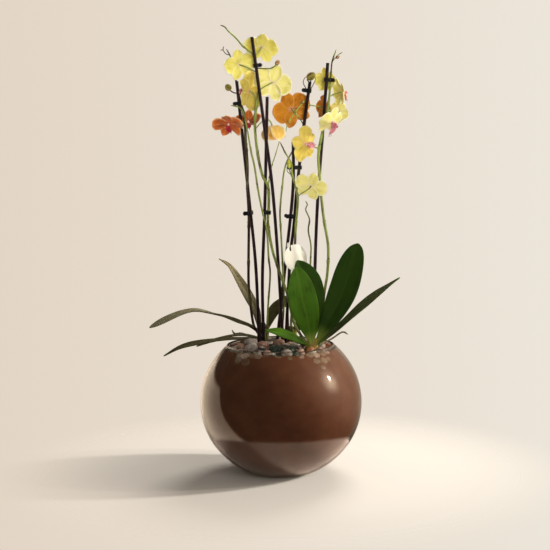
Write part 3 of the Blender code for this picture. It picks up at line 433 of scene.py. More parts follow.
def solidify(piece, thickness, under=0, group=None):
    """Gives a sheet its thickness, less away from a vertex group; under is how many material slots on its
    back face's finish is."""
    wall = piece.modifiers.new("thickness", "SOLIDIFY")
    wall.thickness = thickness
    wall.offset = 0
    wall.material_offset = under
    if group:
        wall.vertex_group = group
        wall.thickness_vertex_group = 0.3


def soften(piece):
    """Rounds a piece by one level of subdivision."""
    smooth = piece.modifiers.new("softened", "SUBSURF")
    smooth.levels = 1
    smooth.render_levels = 1


# ---- Materials --------------------------------------------------------------------------------------
def linear(colour):
    """An sRGB hex colour as linear RGBA."""
    shares = [int(colour[i:i + 2], 16) / 255 for i in (1, 3, 5)]
    return (*[s / 12.92 if s <= 0.04045 else ((s + 0.055) / 1.055) ** 2.4 for s in shares], 1.0)


def add(tree, kind, inputs=None, stops=None, **settings):
    """Adds a shader node. Each of inputs is a value, or the socket that feeds it, or the node whose first
    working output does, and stops are a ramp's (place, colour) pairs."""
    made = tree.nodes.new("ShaderNode" + kind)
    for name, value in settings.items():
        setattr(made, name, value)
    for name, value in (inputs or {}).items():
        if isinstance(value, bpy.types.Node):
            value = next(socket for socket in value.outputs if socket.enabled)
        if isinstance(value, bpy.types.NodeSocket):
            tree.links.new(value, made.inputs[name])
        else:
            made.inputs[name].default_value = value
    if stops:
        ramp = made.color_ramp
        while len(ramp.elements) < len(stops):
            ramp.elements.new(0.5)
        for element, (place, colour) in zip(ramp.elements, stops):
            element.position = place
            element.color = linear(colour) if isinstance(colour, str) else (colour, colour, colour, 1)
    return made


def new_material(name):
    """An empty node material and its tree."""
    made = bpy.data.materials.new(name)
    made.use_nodes = True
    made.node_tree.nodes.clear()
    return made, made.node_tree


def surfaced(made, shader):
    """The material, with that shader for its surface."""
    add(made.node_tree, "OutputMaterial", {"Surface": shader})
    return made


def clear_glass():
    """Clear soda-lime glass, free blown: glossy and colourless, a little green where it is thick. Lamps
    reach the soil behind it straight through."""
    made, tree = new_material("clear_blown_glass")
    glass = add(tree, "BsdfPrincipled", {"Base Color": linear("#f7faf7"), "Roughness": 0.015, "IOR": 1.5,
                                         "Transmission Weight": 1.0})
    clear = add(tree, "BsdfTransparent", {"Color": linear("#f4f6f4")})
    path = add(tree, "LightPath")
    mixed = add(tree, "MixShader", {0: path.outputs["Is Shadow Ray"], 1: glass, 2: clear})
    return surfaced(made, mixed)


def potting_soil():
    """Fine sifted bark and coir, pressed against the glass: matt brown, barely mottled over 20 mm, grains of
    under 1 mm, and a pale grain of perlite here and there."""
    made, tree = new_material("sifted_bark_compost")
    where = add(tree, "TexCoord").outputs["Object"]
    cloud = add(tree, "TexNoise", {"Vector": where, "Scale": 50.0, "Detail": 4.0})
    grain = add(tree, "TexNoise", {"Vector": where, "Scale": 900.0, "Detail": 3.0})
    brown = add(tree, "ValToRGB", {0: cloud}, stops=[(0.3, "#6b3b25"), (0.5, "#714029"), (0.72, "#78462c")])
    fine = add(tree, "ValToRGB", {0: grain}, stops=[(0.3, 0.82), (0.52, 1.0), (0.75, 1.14)])
    soil = add(tree, "Mix", {0: 1.0, 6: brown, 7: fine}, data_type="RGBA", blend_type="MULTIPLY")
    cells = add(tree, "TexVoronoi", {"Vector": where, "Scale": 75.0, "Randomness": 1.0})
    fleck = add(tree, "ValToRGB", {0: cells.outputs["Distance"]}, stops=[(0.03, 1.0), (0.05, 0.0)])
    chosen = add(tree, "SeparateColor", {0: cells.outputs["Color"]})
    rare = add(tree, "Math", {0: chosen.outputs[0], 1: 0.88}, operation="GREATER_THAN")
    pale = add(tree, "Math", {0: fleck, 1: rare}, operation="MULTIPLY")
    colour = add(tree, "Mix", {0: pale, 6: soil, 7: linear("#b39a80")}, data_type="RGBA")
    bump = add(tree, "Bump", {"Strength": 0.5, "Distance": 0.4 * MM, "Height": grain})
    shader = add(tree, "BsdfPrincipled", {"Base Color": colour, "Roughness": 0.92, "Specular IOR Level": 0.2,
                                          "Normal": bump})
    return surfaced(made, shader)


def pebble_finish(name, body, vein, speck, roughness, vein_size, banded=False):
    """A tumbled river pebble: a worn satin face with its own veins or bands and sub-millimetre specks."""
    made, tree = new_material(name)
    where = add(tree, "TexCoord").outputs["Object"]
    if banded:
        pattern = add(tree, "TexWave", {"Vector": where, "Scale": 1 / vein_size, "Distortion": 9.0,
                                        "Detail": 3.0, "Detail Scale": 0.4}, bands_direction="Z")
    else:
        pattern = add(tree, "TexNoise", {"Vector": where, "Scale": 1 / vein_size, "Detail": 5.0,
                                         "Distortion": 0.6})
    ground = add(tree, "ValToRGB", {0: pattern}, stops=[(0.35, body), (0.58, vein)])
    dots = add(tree, "TexNoise", {"Vector": where, "Scale": 700.0, "Detail": 2.0})
    speckled = add(tree, "ValToRGB", {0: dots}, stops=[(0.56, 0.0), (0.66, 0.75)])
    colour = add(tree, "Mix", {0: speckled, 6: ground, 7: linear(speck)}, data_type="RGBA")
    bump = add(tree, "Bump", {"Strength": 0.35, "Distance": 0.3 * MM, "Height": dots})
    shader = add(tree, "BsdfPrincipled", {"Base Color": colour, "Roughness": roughness, "Normal": bump})
    return surfaced(made, shader)


def stained_bamboo():
    """A bamboo plant stake stained purple-brown: long fibres under a thin satin stain, worn in streaks."""
    made, tree = new_material("stained_bamboo")
    where = add(tree, "TexCoord").outputs["Object"]
    drawn = add(tree, "Mapping", {"Vector": where, "Scale": (1.0, 1.0, 0.04)})
    fibre = add(tree, "TexNoise", {"Vector": drawn, "Scale": 1500.0, "Detail": 3.0})
    colour = add(tree, "ValToRGB", {0: fibre},
                 stops=[(0.35, "#130b0e"), (0.55, "#22131a"), (0.75, "#4a2c33")])
    bump = add(tree, "Bump", {"Strength": 0.3, "Distance": 0.2 * MM, "Height": fibre})
    shader = add(tree, "BsdfPrincipled", {"Base Color": colour, "Roughness": 0.42, "Normal": bump})
    return surfaced(made, shader)


def flower_stem(name, ground, patch, amount):
    """A fleshy orchid stem: a satin skin flushed with purple-brown in patches a few centimetres long, and
    fine lengthwise mottling. amount moves how much of it is flushed."""
    made, tree = new_material(name)
    where = add(tree, "TexCoord").outputs["Object"]
    drawn = add(tree, "Mapping", {"Vector": where, "Scale": (1.0, 1.0, 0.35)})
    flush = add(tree, "TexNoise", {"Vector": drawn, "Scale": 75.0, "Detail": 3.0})
    mottle = add(tree, "TexNoise", {"Vector": drawn, "Scale": 1200.0, "Detail": 2.0})
    flushed = add(tree, "ValToRGB", {0: flush}, stops=[(amount - 0.08, 1.0), (amount + 0.1, 0.0)])
    colour = add(tree, "Mix", {0: flushed, 6: linear(ground), 7: linear(patch)}, data_type="RGBA")
    fine = add(tree, "ValToRGB", {0: mottle}, stops=[(0.3, 0.75), (0.7, 1.2)])
    shaded = add(tree, "Mix", {0: 1.0, 6: colour, 7: fine}, data_type="RGBA", blend_type="MULTIPLY")
    shader = add(tree, "BsdfPrincipled", {"Base Color": shaded, "Roughness": 0.45, "Subsurface Weight": 0.08,
                                          "Subsurface Scale": 1.5 * MM})
    return surfaced(made, shader)


def veined(tree, stretch, fineness, distortion, cloud_scale, cloud_detail, stops):
    """What leaves and petals share: a ground mottled between lengthwise veins, the veins, how far a place is
    off the midrib, and how far up from the base, as shares of the width and the length."""
    coords = add(tree, "TexCoord")
    split = add(tree, "SeparateXYZ", {0: coords.outputs["UV"]})
    off = add(tree, "Math", {0: split, 1: 0.5}, operation="SUBTRACT")
    off = add(tree, "Math", {0: off}, operation="ABSOLUTE")
    stretched = add(tree, "Mapping", {"Vector": coords.outputs["UV"], "Scale": (stretch, 1.0, 1.0)})
    veins = add(tree, "TexNoise", {"Vector": stretched, "Scale": fineness, "Detail": 2.0,
                                   "Distortion": distortion})
    clouds = add(tree, "TexNoise", {"Vector": coords.outputs["Object"], "Scale": cloud_scale,
                                    "Detail": cloud_detail})
    both = add(tree, "Math", {0: veins, 1: clouds}, operation="ADD")
    return add(tree, "ValToRGB", {0: both}, stops=stops), veins, off, split.outputs[1]


def leaf_finish(name, blade_colour, deep, rib, base, roughness, base_reach=0.17):
    """A waxy orchid leaf: a thick smooth cuticle over faint lengthwise veins about 1 mm apart, a paler
    midrib, and another tint from its base up to base_reach, a share of its length."""
    made, tree = new_material(name)
    ground, veins, off, up = veined(tree, 14.0, 1.6, 0.0, 60.0, 3.0, [(0.72, deep), (1.0, blade_colour)])
    midrib = add(tree, "ValToRGB", {0: off}, stops=[(0.006, 0.35), (0.03, 0.0)])
    ribbed = add(tree, "Mix", {0: midrib, 6: ground, 7: linear(rib)}, data_type="RGBA")
    near = add(tree, "ValToRGB", {0: up}, stops=[(0.02, 0.85), (base_reach, 0.0)])
    colour = add(tree, "Mix", {0: near, 6: ribbed, 7: linear(base)}, data_type="RGBA")
    bump = add(tree, "Bump", {"Strength": 0.08, "Distance": 0.3 * MM, "Height": veins})
    shader = add(tree, "BsdfPrincipled", {"Base Color": colour, "Roughness": roughness,
                                          "Specular IOR Level": 0.28, "Normal": bump,
                                          "Subsurface Weight": 0.06, "Subsurface Scale": 2 * MM})
    return surfaced(made, shader)


def petal_finish(name, ground, deep, rim, heart, through=0.25):
    """A moth orchid's petal: thin, satin and lit through from behind, its colour a little deeper between
    fine fanning veins, paler at the midrib, flushed at the heart, and paler at the rim and the tip: partly
    its own colour, partly painted light on the edges."""
    made, tree = new_material(name)
    body, veins, off, up = veined(tree, 20.0, 1.4, 0.4, 70.0, 2.0, [(0.82, deep), (1.04, ground)])
    # Paler rim and tip: partly the petal's own colour, partly painted light on its edges.
    pale = add(tree, "ValToRGB", {0: off}, stops=[(0.0, 0.3), (0.05, 0.0), (0.36, 0.0), (0.49, 0.75)])
    rim_with_painted_light = add(tree, "Mix", {0: pale, 6: body, 7: linear(rim)}, data_type="RGBA")
    end = add(tree, "ValToRGB", {0: up}, stops=[(0.7, 0.0), (0.97, 0.55)])
    tip_with_painted_light = add(tree, "Mix", {0: end, 6: rim_with_painted_light, 7: linear(rim)}, data_type="RGBA")
    near = add(tree, "ValToRGB", {0: up}, stops=[(0.06, 0.9), (0.28, 0.0)])
    colour = add(tree, "Mix", {0: near, 6: tip_with_painted_light, 7: linear(heart)}, data_type="RGBA")
    bump = add(tree, "Bump", {"Strength": 0.3, "Distance": 0.25 * MM, "Height": veins})
    face = add(tree, "BsdfPrincipled", {"Base Color": colour, "Roughness": 0.5, "Normal": bump,
                                        "Sheen Weight": 0.15})
    glow = add(tree, "BsdfTranslucent", {"Color": colour, "Normal": bump})
    mixed = add(tree, "MixShader", {0: through, 1: face, 2: glow})
    return surfaced(made, mixed)


def soft_flesh(name, light, dark, grain, roughness=0.45):
    """Smooth plant flesh of two close tints that cloud into each other over grain metres."""
    made, tree = new_material(name)
    where = add(tree, "TexCoord").outputs["Object"]
    clouds = add(tree, "TexNoise", {"Vector": where, "Scale": 1 / grain, "Detail": 3.0})
    colour = add(tree, "ValToRGB", {0: clouds}, stops=[(0.36, dark), (0.62, light)])
    bump = add(tree, "Bump", {"Strength": 0.2, "Distance": 0.2 * MM, "Height": clouds})
    shader = add(tree, "BsdfPrincipled", {"Base Color": colour, "Roughness": roughness, "Normal": bump,
                                          "Subsurface Weight": 0.15, "Subsurface Scale": 1.5 * MM})
    return surfaced(made, shader)


def moulded_polypropylene():
    """Black injection-moulded polypropylene: a satin skin with the mould's fine texture, about 0.4 mm."""
    made, tree = new_material("moulded_polypropylene")
    where = add(tree, "TexCoord").outputs["Object"]
    skin = add(tree, "TexNoise", {"Vector": where, "Scale": 2500.0, "Detail": 2.0})
    colour = add(tree, "ValToRGB", {0: skin}, stops=[(0.3, "#0d0f10"), (0.7, "#1b1e20")])
    bump = add(tree, "Bump", {"Strength": 0.15, "Distance": 0.1 * MM, "Height": skin})
    shader = add(tree, "BsdfPrincipled", {"Base Color": colour, "Roughness": 0.3, "Normal": bump})
    return surfaced(made, shader)


def coated_card():
    """Stiff coated card: warm white with faint fibres about 1 mm long, matt."""
    made, tree = new_material("coated_card")
    where = add(tree, "TexCoord").outputs["Object"]
    fibre = add(tree, "TexNoise", {"Vector": where, "Scale": 1000.0, "Detail": 3.0, "Distortion": 1.0})
    colour = add(tree, "ValToRGB", {0: fibre}, stops=[(0.3, "#e9e3d0"), (0.7, "#f6f1e2")])
    bump = add(tree, "Bump", {"Strength": 0.1, "Distance": 0.1 * MM, "Height": fibre})
    shader = add(tree, "BsdfPrincipled", {"Base Color": colour, "Roughness": 0.6, "Normal": bump})
    return surfaced(made, shader)


# ---- Globe, soil and pebbles ------------------------------------------------------------------------
def wall_profile(inset, bottom, top):
    """(r, z) points up the globe's wall, inset inside its outer face and half as deep round the belly, where
    the blown wall is thinnest."""
    low, high = (math.sqrt(1 - (r / BOWL_R) ** 2) for r in (FOOT_R, MOUTH_R))
    tall = BOWL_HEIGHT / (low + high)
    middle = tall * low
    first, last = (math.asin(max(-1.0, min(1.0, (z - middle) / (tall - inset)))) for z in (bottom, top))
    angles = [first + (last - first) * i / WALL_STEPS for i in range(WALL_STEPS + 1)]
    depths = [inset * (0.5 + 0.5 * abs(math.sin(a)) ** 3) for a in angles]
    return [((BOWL_R - depth) * math.cos(a), middle + (tall - inset) * math.sin(a))
            for a, depth in zip(angles, depths)]


def inner_radius(z):
    """The glass's inner radius at a height."""
    wall = wall_profile(GLASS_WALL, GLASS_BASE, BOWL_HEIGHT - GLASS_WALL / 2)
    for (r_low, z_low), (r_high, z_high) in zip(wall, wall[1:]):
        if z <= z_high:
            return r_low + (r_high - r_low) * (z - z_low) / (z_high - z_low)
    return wall[-1][0]


def make_bowl(glass):
    """The blown globe: one wall, a fire-rounded rim, and a thick foot with a shallow kick underneath."""
    rim_z = BOWL_HEIGHT - GLASS_WALL / 2
    outer = wall_profile(0, 0, rim_z)
    inner = wall_profile(GLASS_WALL, GLASS_BASE, rim_z)
    centre_r = (outer[-1][0] + inner[-1][0]) / 2
    half = (outer[-1][0] - inner[-1][0]) / 2
    rim = []
    for i in range(1, 8):
        angle = math.pi * i / 8
        rim.append((centre_r + half * math.cos(angle), rim_z + (BOWL_HEIGHT - rim_z) * math.sin(angle)))
    profile = [(0, FOOT_KICK), (0.75 * FOOT_R, FOOT_KICK), (0.93 * FOOT_R, 0), *outer, *rim,
               *reversed(inner), (0, GLASS_BASE)]
    shape = bmesh.new()
    spun(shape, profile, TURNED_SIDES)
    finish_piece("glass_globe", shape, [glass], ["glass_bowl"])


def soil_height(reach):
    """The soil's surface at that share of the way out to the glass, where it is banked up a little."""
    bank = max(0.0, (reach - 0.7) / 0.3)
    return SOIL_TOP - 1.5 * MM + 4 * MM * bank**2


def make_soil(compost):
    """Everything under the pebbles, filled against the glass, with a loose crumbly top."""
    edge = soil_height(1)
    floor = GLASS_BASE + SEAT_GAP
    wall = wall_profile(GLASS_WALL + SEAT_GAP, floor, edge)
    out = wall[-1][0]
    steps = 24
    surface = [(out * (1 - i / steps), soil_height(1 - i / steps)) for i in range(1, steps)]
    shape = bmesh.new()
    spun(shape, [(0, floor), *wall, *surface, (0, SOIL_TOP)], TURNED_SIDES)
    for vert in shape.verts:
        reach = math.hypot(vert.co.x, vert.co.y) / out
        if vert.co.z > SOIL_TOP - 3 * MM and reach < 0.97:
            vert.co.z += 1.6 * MM * noise.noise(vert.co * 260)
    finish_piece("bark_compost", shape, [compost], ["potting_soil"])


def pebble(shape, chance, centre, size, material):
    """One tumbled pebble: a ball pressed to three unequal axes, with worn flats and hollows."""
    made = bmesh.ops.create_icosphere(shape, subdivisions=3, radius=1)
    axes = Vector((1.0, chance.uniform(0.68, 0.9), chance.uniform(0.5, 0.68))) * size / 2
    turn = Matrix.Rotation(chance.uniform(0, math.tau), 4, "Z") @ Matrix.Rotation(
        chance.uniform(-0.35, 0.35), 4, "X") @ Matrix.Rotation(chance.uniform(-0.35, 0.35), 4, "Y")
    seed = Vector((chance.uniform(0, 50), chance.uniform(0, 50), chance.uniform(0, 50)))
    for vert in made["verts"]:
        way = vert.co.normalized()
        swell = 1 + 0.16 * noise.noise(way * 1.1 + seed) + 0.05 * noise.noise(way * 2.7 + seed)
        vert.co = Vector((way.x * axes.x, way.y * axes.y, way.z * axes.z)) * swell
    paint(made["verts"], material)
    bmesh.ops.transform(shape, matrix=Matrix.Translation(centre) @ turn, verts=made["verts"])
    return made["verts"]


# Large pebbles set one by one: right, back, up of the middle in mm, size in mm, kind
CHOSEN_PEBBLES = [
    (-45, -27, 16, 22, 0), (-45, -45, 10, 23, 0), (-27, -31, 12, 20, 1), (-7, -42, 8, 24, 3),
    (-4, -6, 10, 22, 1), (-18, -12, 12, 19, 2), (-58, -24, 8, 18, 1), (-28, -50, 7, 20, 2),
    (-52, -6, 9, 21, 3), (14, -50, 6, 21, 3), (9, -26, 7, 20, 2), (30, -52, 4, 18, 1),
    (-30, -8, 8, 21, 3), (20, -12, 6, 20, 0), (60, -36, 4, 16, 1), (62, -8, 4, 20, 0),
    (50, 20, 5, 22, 1), (-50, 24, 5, 21, 0), (-8, 60, 4, 23, 0), (34, 30, 5, 20, 2),
    (-42, 48, 4, 20, 1), (54, 42, 3, 19, 0),
]
# Small stones pressed against the glass: side in degrees, depth below the rim and size in mm, kind
PRESSED_STONES = [
    (222, 8, 16, 4), (231, 9, 18, 1), (240, 8, 16, 4), (227, 16, 15, 4), (236, 17, 18, 4), (247, 8, 12, 1),
    (268, 8, 8, 4), (279, 10, 9, 4), (291, 9, 9, 1), (301, 8, 14, 4), (309, 9, 17, 1), (317, 8, 15, 4),
    (305, 16, 14, 4), (313, 17, 16, 4), (320, 16, 11, 4), (309, 25, 10, 4), (325, 8, 11, 1),
    (20, 11, 14, 1), (48, 14, 11, 4), (75, 10, 15, 0), (110, 13, 14, 1), (140, 11, 15, 4), (170, 15, 13, 1),
]


def make_pebbles(kinds):
    """The dressing: the chosen large pebbles, more of them wherever there is room, and small stones
    against the glass."""
    chance = random.Random(11)
    shape = bmesh.new()
    laid = []
    for right, back, up, size, kind in CHOSEN_PEBBLES:
        centre = planted((right, back, up))
        laid.append((centre, size * MM / 2))
        pebble(shape, chance, centre, size * MM, kind)
    blocked = [(crown_centre(name), CROWN_R + 3 * MM) for name in CROWNS]
    for _ in range(700):
        size = chance.uniform(12, 21) * MM
        out = inner_radius(SOIL_TOP) - 1.5 * MM - size / 2
        reach = 0.95 * math.sqrt(chance.random()) * out
        side = chance.uniform(0, 360)
        centre = around(ORIGIN, reach, side)
        centre.z = soil_height(reach / inner_radius(SOIL_TOP)) + chance.uniform(0.15, 0.45) * size
        kind = chance.choice((0, 1, 1, 2, 3))
        if any((centre - other).length < 0.8 * (size / 2 + r) for other, r in laid):
            continue
        if any(math.hypot(centre.x - c.x, centre.y - c.y) < size / 2 + r for c, r in blocked):
            continue
        laid.append((centre, size / 2))
        pebble(shape, chance, centre, size, kind)
    for side, down, size, kind in PRESSED_STONES:
        height = BOWL_HEIGHT - down * MM
        centre = around(Vector((0, 0, height)), inner_radius(height) - 0.15 * size * MM, side)
        for vert in pebble(shape, chance, centre, size * MM, kind):
            room = (inner_radius(vert.co.z) - 0.1 * MM) / math.hypot(vert.co.x, vert.co.y)
            if room < 1:
                vert.co.x *= room
                vert.co.y *= room
    finish_piece("pebble_dressing", shape, kinds, ["pebble_bed"])


# ---- Stems, buds and clips --------------------------------------------------------------------------
def make_stake(name, bamboo):
    """A bamboo stake: its route down into the soil, low rings at its joints, and a chamfered cut top."""
    above = curve_through(stem_points(STAKES[name][::-1], STAKE_R), 10 * MM)
    route = [above[0] + (above[0] - above[1]).normalized() * STAKE_BURIED, *above]
    end = route[-1] + (route[-1] - route[-2]).normalized() * 0.5 * MM
    radii = []
    travelled = 0.0
    for a, b in zip([route[0], *route], route):
        travelled += (b - a).length
        ring = math.exp(-((travelled % STAKE_JOINTS - STAKE_JOINTS / 2) / (6 * MM)) ** 2)
        radii.append(STAKE_R * (0.95 + 0.05 * ring))
    shape = bmesh.new()
    tube(shape, [*route, end], [*radii, 0.75 * STAKE_R], 14)
    finish_piece(name.replace("stake", "cane"), shape, [bamboo], [name])


def stalk_points(start, end, arriving):
    """A flower stalk's curve from the spike to a flower or bud, arriving along a given direction."""
    reach = (end - start).length
    b = end - arriving * reach * 0.4
    a = start.lerp(b, 0.45) + Vector((0, 0, 0.1 * reach))
    points = []
    for i in range(STALK_STEPS + 1):
        t = 1 - (1 - i / STALK_STEPS) ** 1.3
        s = 1 - t
        points.append(s**3 * start + 3 * s * s * t * a + 3 * s * t * t * b + t**3 * end)
    return points


def add_bract(shape, place, way, side, size):
    """The small dry scale that hugs a stem at a joint."""
    out = around(ORIGIN, 1, side)
    out = (out - way * out.dot(way)).normalized()
    turn = set_to(way.cross(out), way, out)
    blade(shape, Matrix.Translation(place + out * 0.9 * size) @ turn, 3.2 * size, 1.25 * size, arch=-0.25,
          cup=0.7, claw=0.8, widest=0.15, tip=1.0, rows=5, columns=5, material=1)


def make_spike(name, skin, fresh, scale, bud_skin):
    """A flower spike: jointed every few centimetres with a bract at each joint, its flower stalks, bare
    twigs and buds growing from it."""
    route = SPIKE_ROUTES[name]
    thick = SPIKE_R * SPIKES[name][2]
    thin = min(thick, SPIKE_TIP_R)
    stems = new_shape()
    scales = new_shape()
    radii = []
    travelled, joint = 0.0, 0
    for i, (a, b) in enumerate(zip([route[0], *route], route)):
        travelled += (b - a).length
        share = max(0.0, (i / (len(route) - 1) - 0.75) / 0.25)
        radius = thick + (thin - thick) * share
        ring = math.exp(-((travelled % SPIKE_JOINTS - SPIKE_JOINTS / 2) / (2.6 * MM)) ** 2)
        radii.append(radius * (1 + 0.28 * ring))
        if travelled > (joint + 0.5) * SPIKE_JOINTS and i < len(route) - 3:
            joint += 1
            add_bract(scales, b, (route[i + 1] - b).normalized(), 250 + 137 * joint, radius)
    radii[-1] *= 0.5
    tube(stems, route, radii, 12)
    for centre, face, _, _, _, bearer, up, _ in FLOWERS.values():
        if bearer == name:
            looks = Vector(face).normalized()
            points = stalk_points(at_height(route, SOIL_TOP + up * MM),
                                  planted(centre) - looks * 0.5 * MM, looks)
            swell = [STALK_R * (1 + 0.35 * max(0.0, i / STALK_STEPS - 0.6) / 0.4)
                     for i in range(STALK_STEPS + 1)]
            tube(stems, points, swell, 10, material=1)
    for fork, twig in TWIGS.get(name, []):
        points = [at_height(route, SOIL_TOP + fork * MM), *[planted(p) for p in twig]]
        points = curve_through(points, 4 * MM)
        count = len(points) - 1
        radii = [1.3 * MM - 0.7 * MM * i / count for i in range(count + 1)]
        tube(stems, points, radii, 10, material=1)
        for i in range(3, count, 5):
            add_bract(scales, points[i], (points[i + 1] - points[i]).normalized(), 90 + 170 * i, radii[i])
    for wisp in WISPS.get(name, []):
        points = curve_through([planted(p) for p in wisp], 2 * MM)
        tube(stems, points, [0.75 * MM - 0.3 * MM * i / len(points) for i in range(len(points))], 8)
    for bud, (centre, length, width, pointing, bearer, up) in BUDS.items():
        if bearer == name:
            way = Vector(pointing).normalized()
            middle = planted(centre)
            start = at_height(route, SOIL_TOP + up * MM)
            points = stalk_points(start, middle - way * length * 0.42 * MM, way)
            tube(stems, points, [0.95 * STALK_R] * len(points), 10)
            buds = bmesh.new()
            egg(buds, middle, length * MM, width * MM, way, 24, 16, seams=0.12)
            finish_piece(bud, buds, [bud_skin[bud]])
    finish_piece(name.replace("spike", "stem"), stems, [skin, fresh],
                 [name])
    scales_piece = finish_piece(name.replace("spike", "bracts"), scales, [scale, scale])
    solidify(scales_piece, 0.35 * MM)


def routes_of(stem):
    """The route and the radius of a stake or a spike."""
    return (STAKE_ROUTES[stem], STAKE_R) if stem in STAKES else (SPIKE_ROUTES[stem], SPIKE_R)


def make_clip(name, plastic):
    """A sprung orchid clip: an oval band round two stems, and a pair of ridged finger pads."""
    stems, up, side = CLIPS[name]
    height = SOIL_TOP + up * MM
    spots = [at_height(routes_of(stem)[0], height) for stem in stems]
    middle = sum(spots, Vector()) / 2
    inner = max(routes_of(stem)[1] for stem in stems) + 0.5 * MM
    along = spots[1] - spots[0]
    stretch = along.length / 2
    turn = math.atan2(along.y, along.x)
    shape = bmesh.new()
    rings = []
    for radius in (inner, inner + CLIP_BAND):
        made = bmesh.ops.create_circle(shape, segments=36, radius=radius)
        rings += edges_of(made["verts"])
        for vert in made["verts"]:
            vert.co.x += math.copysign(stretch, vert.co.x) if abs(vert.co.x) > 1e-6 else 0
    bmesh.ops.bridge_loops(shape, edges=rings)
    grown = bmesh.ops.extrude_face_region(shape, geom=list(shape.faces))
    lifted = [item for item in grown["geom"] if isinstance(item, bmesh.types.BMVert)]
    bmesh.ops.translate(shape, vec=(0, 0, CLIP_HEIGHT), verts=lifted)
    bmesh.ops.translate(shape, vec=(0, 0, -CLIP_HEIGHT / 2), verts=shape.verts)
    bmesh.ops.recalc_face_normals(shape, faces=shape.faces)
    sharp = [edge for edge in shape.edges if len(edge.link_faces) == 2 and edge.calc_face_angle() > 1]
    bmesh.ops.bevel(shape, geom=sharp, offset=0.35 * MM, offset_type="OFFSET", affect="EDGES", segments=2,
                    profile=0.5, material=-1, clamp_overlap=True)
    facing = math.radians(side) - turn
    out = Vector((math.cos(facing), math.sin(facing), 0))
    reach = inner + CLIP_BAND + stretch * abs(out.x)
    for lean in (-1, 1):
        way = Matrix.Rotation(lean * 0.3, 3, "Z") @ out
        flat = way.to_track_quat("X", "Z").to_matrix().to_4x4()
        pad = bmesh.ops.create_uvsphere(shape, u_segments=24, v_segments=16, radius=CLIP_PAD_R)
        for vert in pad["verts"]:
            vert.co.y *= 0.78
            vert.co.x *= 1 + 0.035 * math.cos(14 * vert.co.z / MM)
        centre = way * (reach + 2.5 * MM) + Vector((-way.y, way.x, 0)) * lean * 1.3 * MM
        bmesh.ops.transform(shape, matrix=Matrix.Translation(centre) @ flat, verts=pad["verts"])
        arm = bmesh.ops.create_cube(shape, size=1)
        size = Matrix.Diagonal((3.2 * MM, 1.2 * MM, 4.0 * MM, 1))
        bmesh.ops.transform(shape, matrix=Matrix.Translation(way * (reach + 0.3 * MM)) @ flat @ size,
                            verts=arm["verts"])
    lean_route = routes_of(stems[0])[0]
    way = at_height(lean_route, height + 10 * MM) - at_height(lean_route, height - 10 * MM)
    tilt = UP.rotation_difference(way).to_matrix().to_4x4()
    place = Matrix.Translation(middle) @ tilt @ Matrix.Rotation(turn, 4, "Z")
    bmesh.ops.transform(shape, matrix=place, verts=shape.verts)
    piece = finish_piece(name.replace("clip", "orchid_clip"), shape, [plastic], [name])
    piece.data.set_sharp_from_angle(angle=SHARP)


def make_tag(card):
    """A round card tag with a notch that hooks over a stem, and a small ear beside the notch."""
    shape = bmesh.new()
    bmesh.ops.create_cone(shape, cap_ends=True, segments=96, radius1=TAG_R, radius2=TAG_R,
                          depth=TAG_THICKNESS)
    rims = [edge for edge in shape.edges if edge.calc_face_angle() > 1]
    bmesh.ops.bevel(shape, geom=rims, offset=0.15 * MM, offset_type="OFFSET", affect="EDGES", segments=2,
                    profile=0.5, material=-1)
    bmesh.ops.rotate(shape, matrix=turned(90, "X"), verts=shape.verts)
    place = Matrix.Translation(planted(TAG_CENTRE)) @ turned(TAG_TURN, "Z") @ turned(-TAG_TIP, "X")
    bmesh.ops.transform(shape, matrix=place, verts=shape.verts)
    piece = finish_piece("card_tag", shape, [card], ["plant_tag"])
    piece.data.set_sharp_from_angle(angle=SHARP)
    notch = bmesh.new()
    bmesh.ops.create_cube(notch, size=1)
    size = Matrix.Diagonal((3 * MM, 8 * MM, TAG_R, 1))
    spot = Matrix.Translation((-0.4 * TAG_R, 0, 1.04 * TAG_R))
    bmesh.ops.transform(notch, matrix=place @ spot @ size, verts=notch.verts)
    cutter = in_scene("tag_notch", notch)
    cut = piece.modifiers.new("notch", "BOOLEAN")
    cut.operation = "DIFFERENCE"
    cut.solver = "EXACT"
    cut.object = cutter
    bpy.context.view_layer.update()
    seen = piece.evaluated_get(bpy.context.evaluated_depsgraph_get())
    notched = bpy.data.meshes.new_from_object(seen)
    piece.modifiers.clear()
    piece.data = notched
    bpy.data.objects.remove(cutter, do_unlink=True)
    ear = bmesh.new()
    spot = Matrix.Translation(planted(TAG_CENTRE) + Vector((-0.52 * TAG_R, 0, 0.78 * TAG_R)))
    blade(ear, spot @ turned(90, "X"), 7.5 * MM, 2.6 * MM, claw=0.8, widest=0.6, rows=8, columns=6)
    solidify(finish_piece("card_tag_ear", ear, [card]), TAG_THICKNESS)


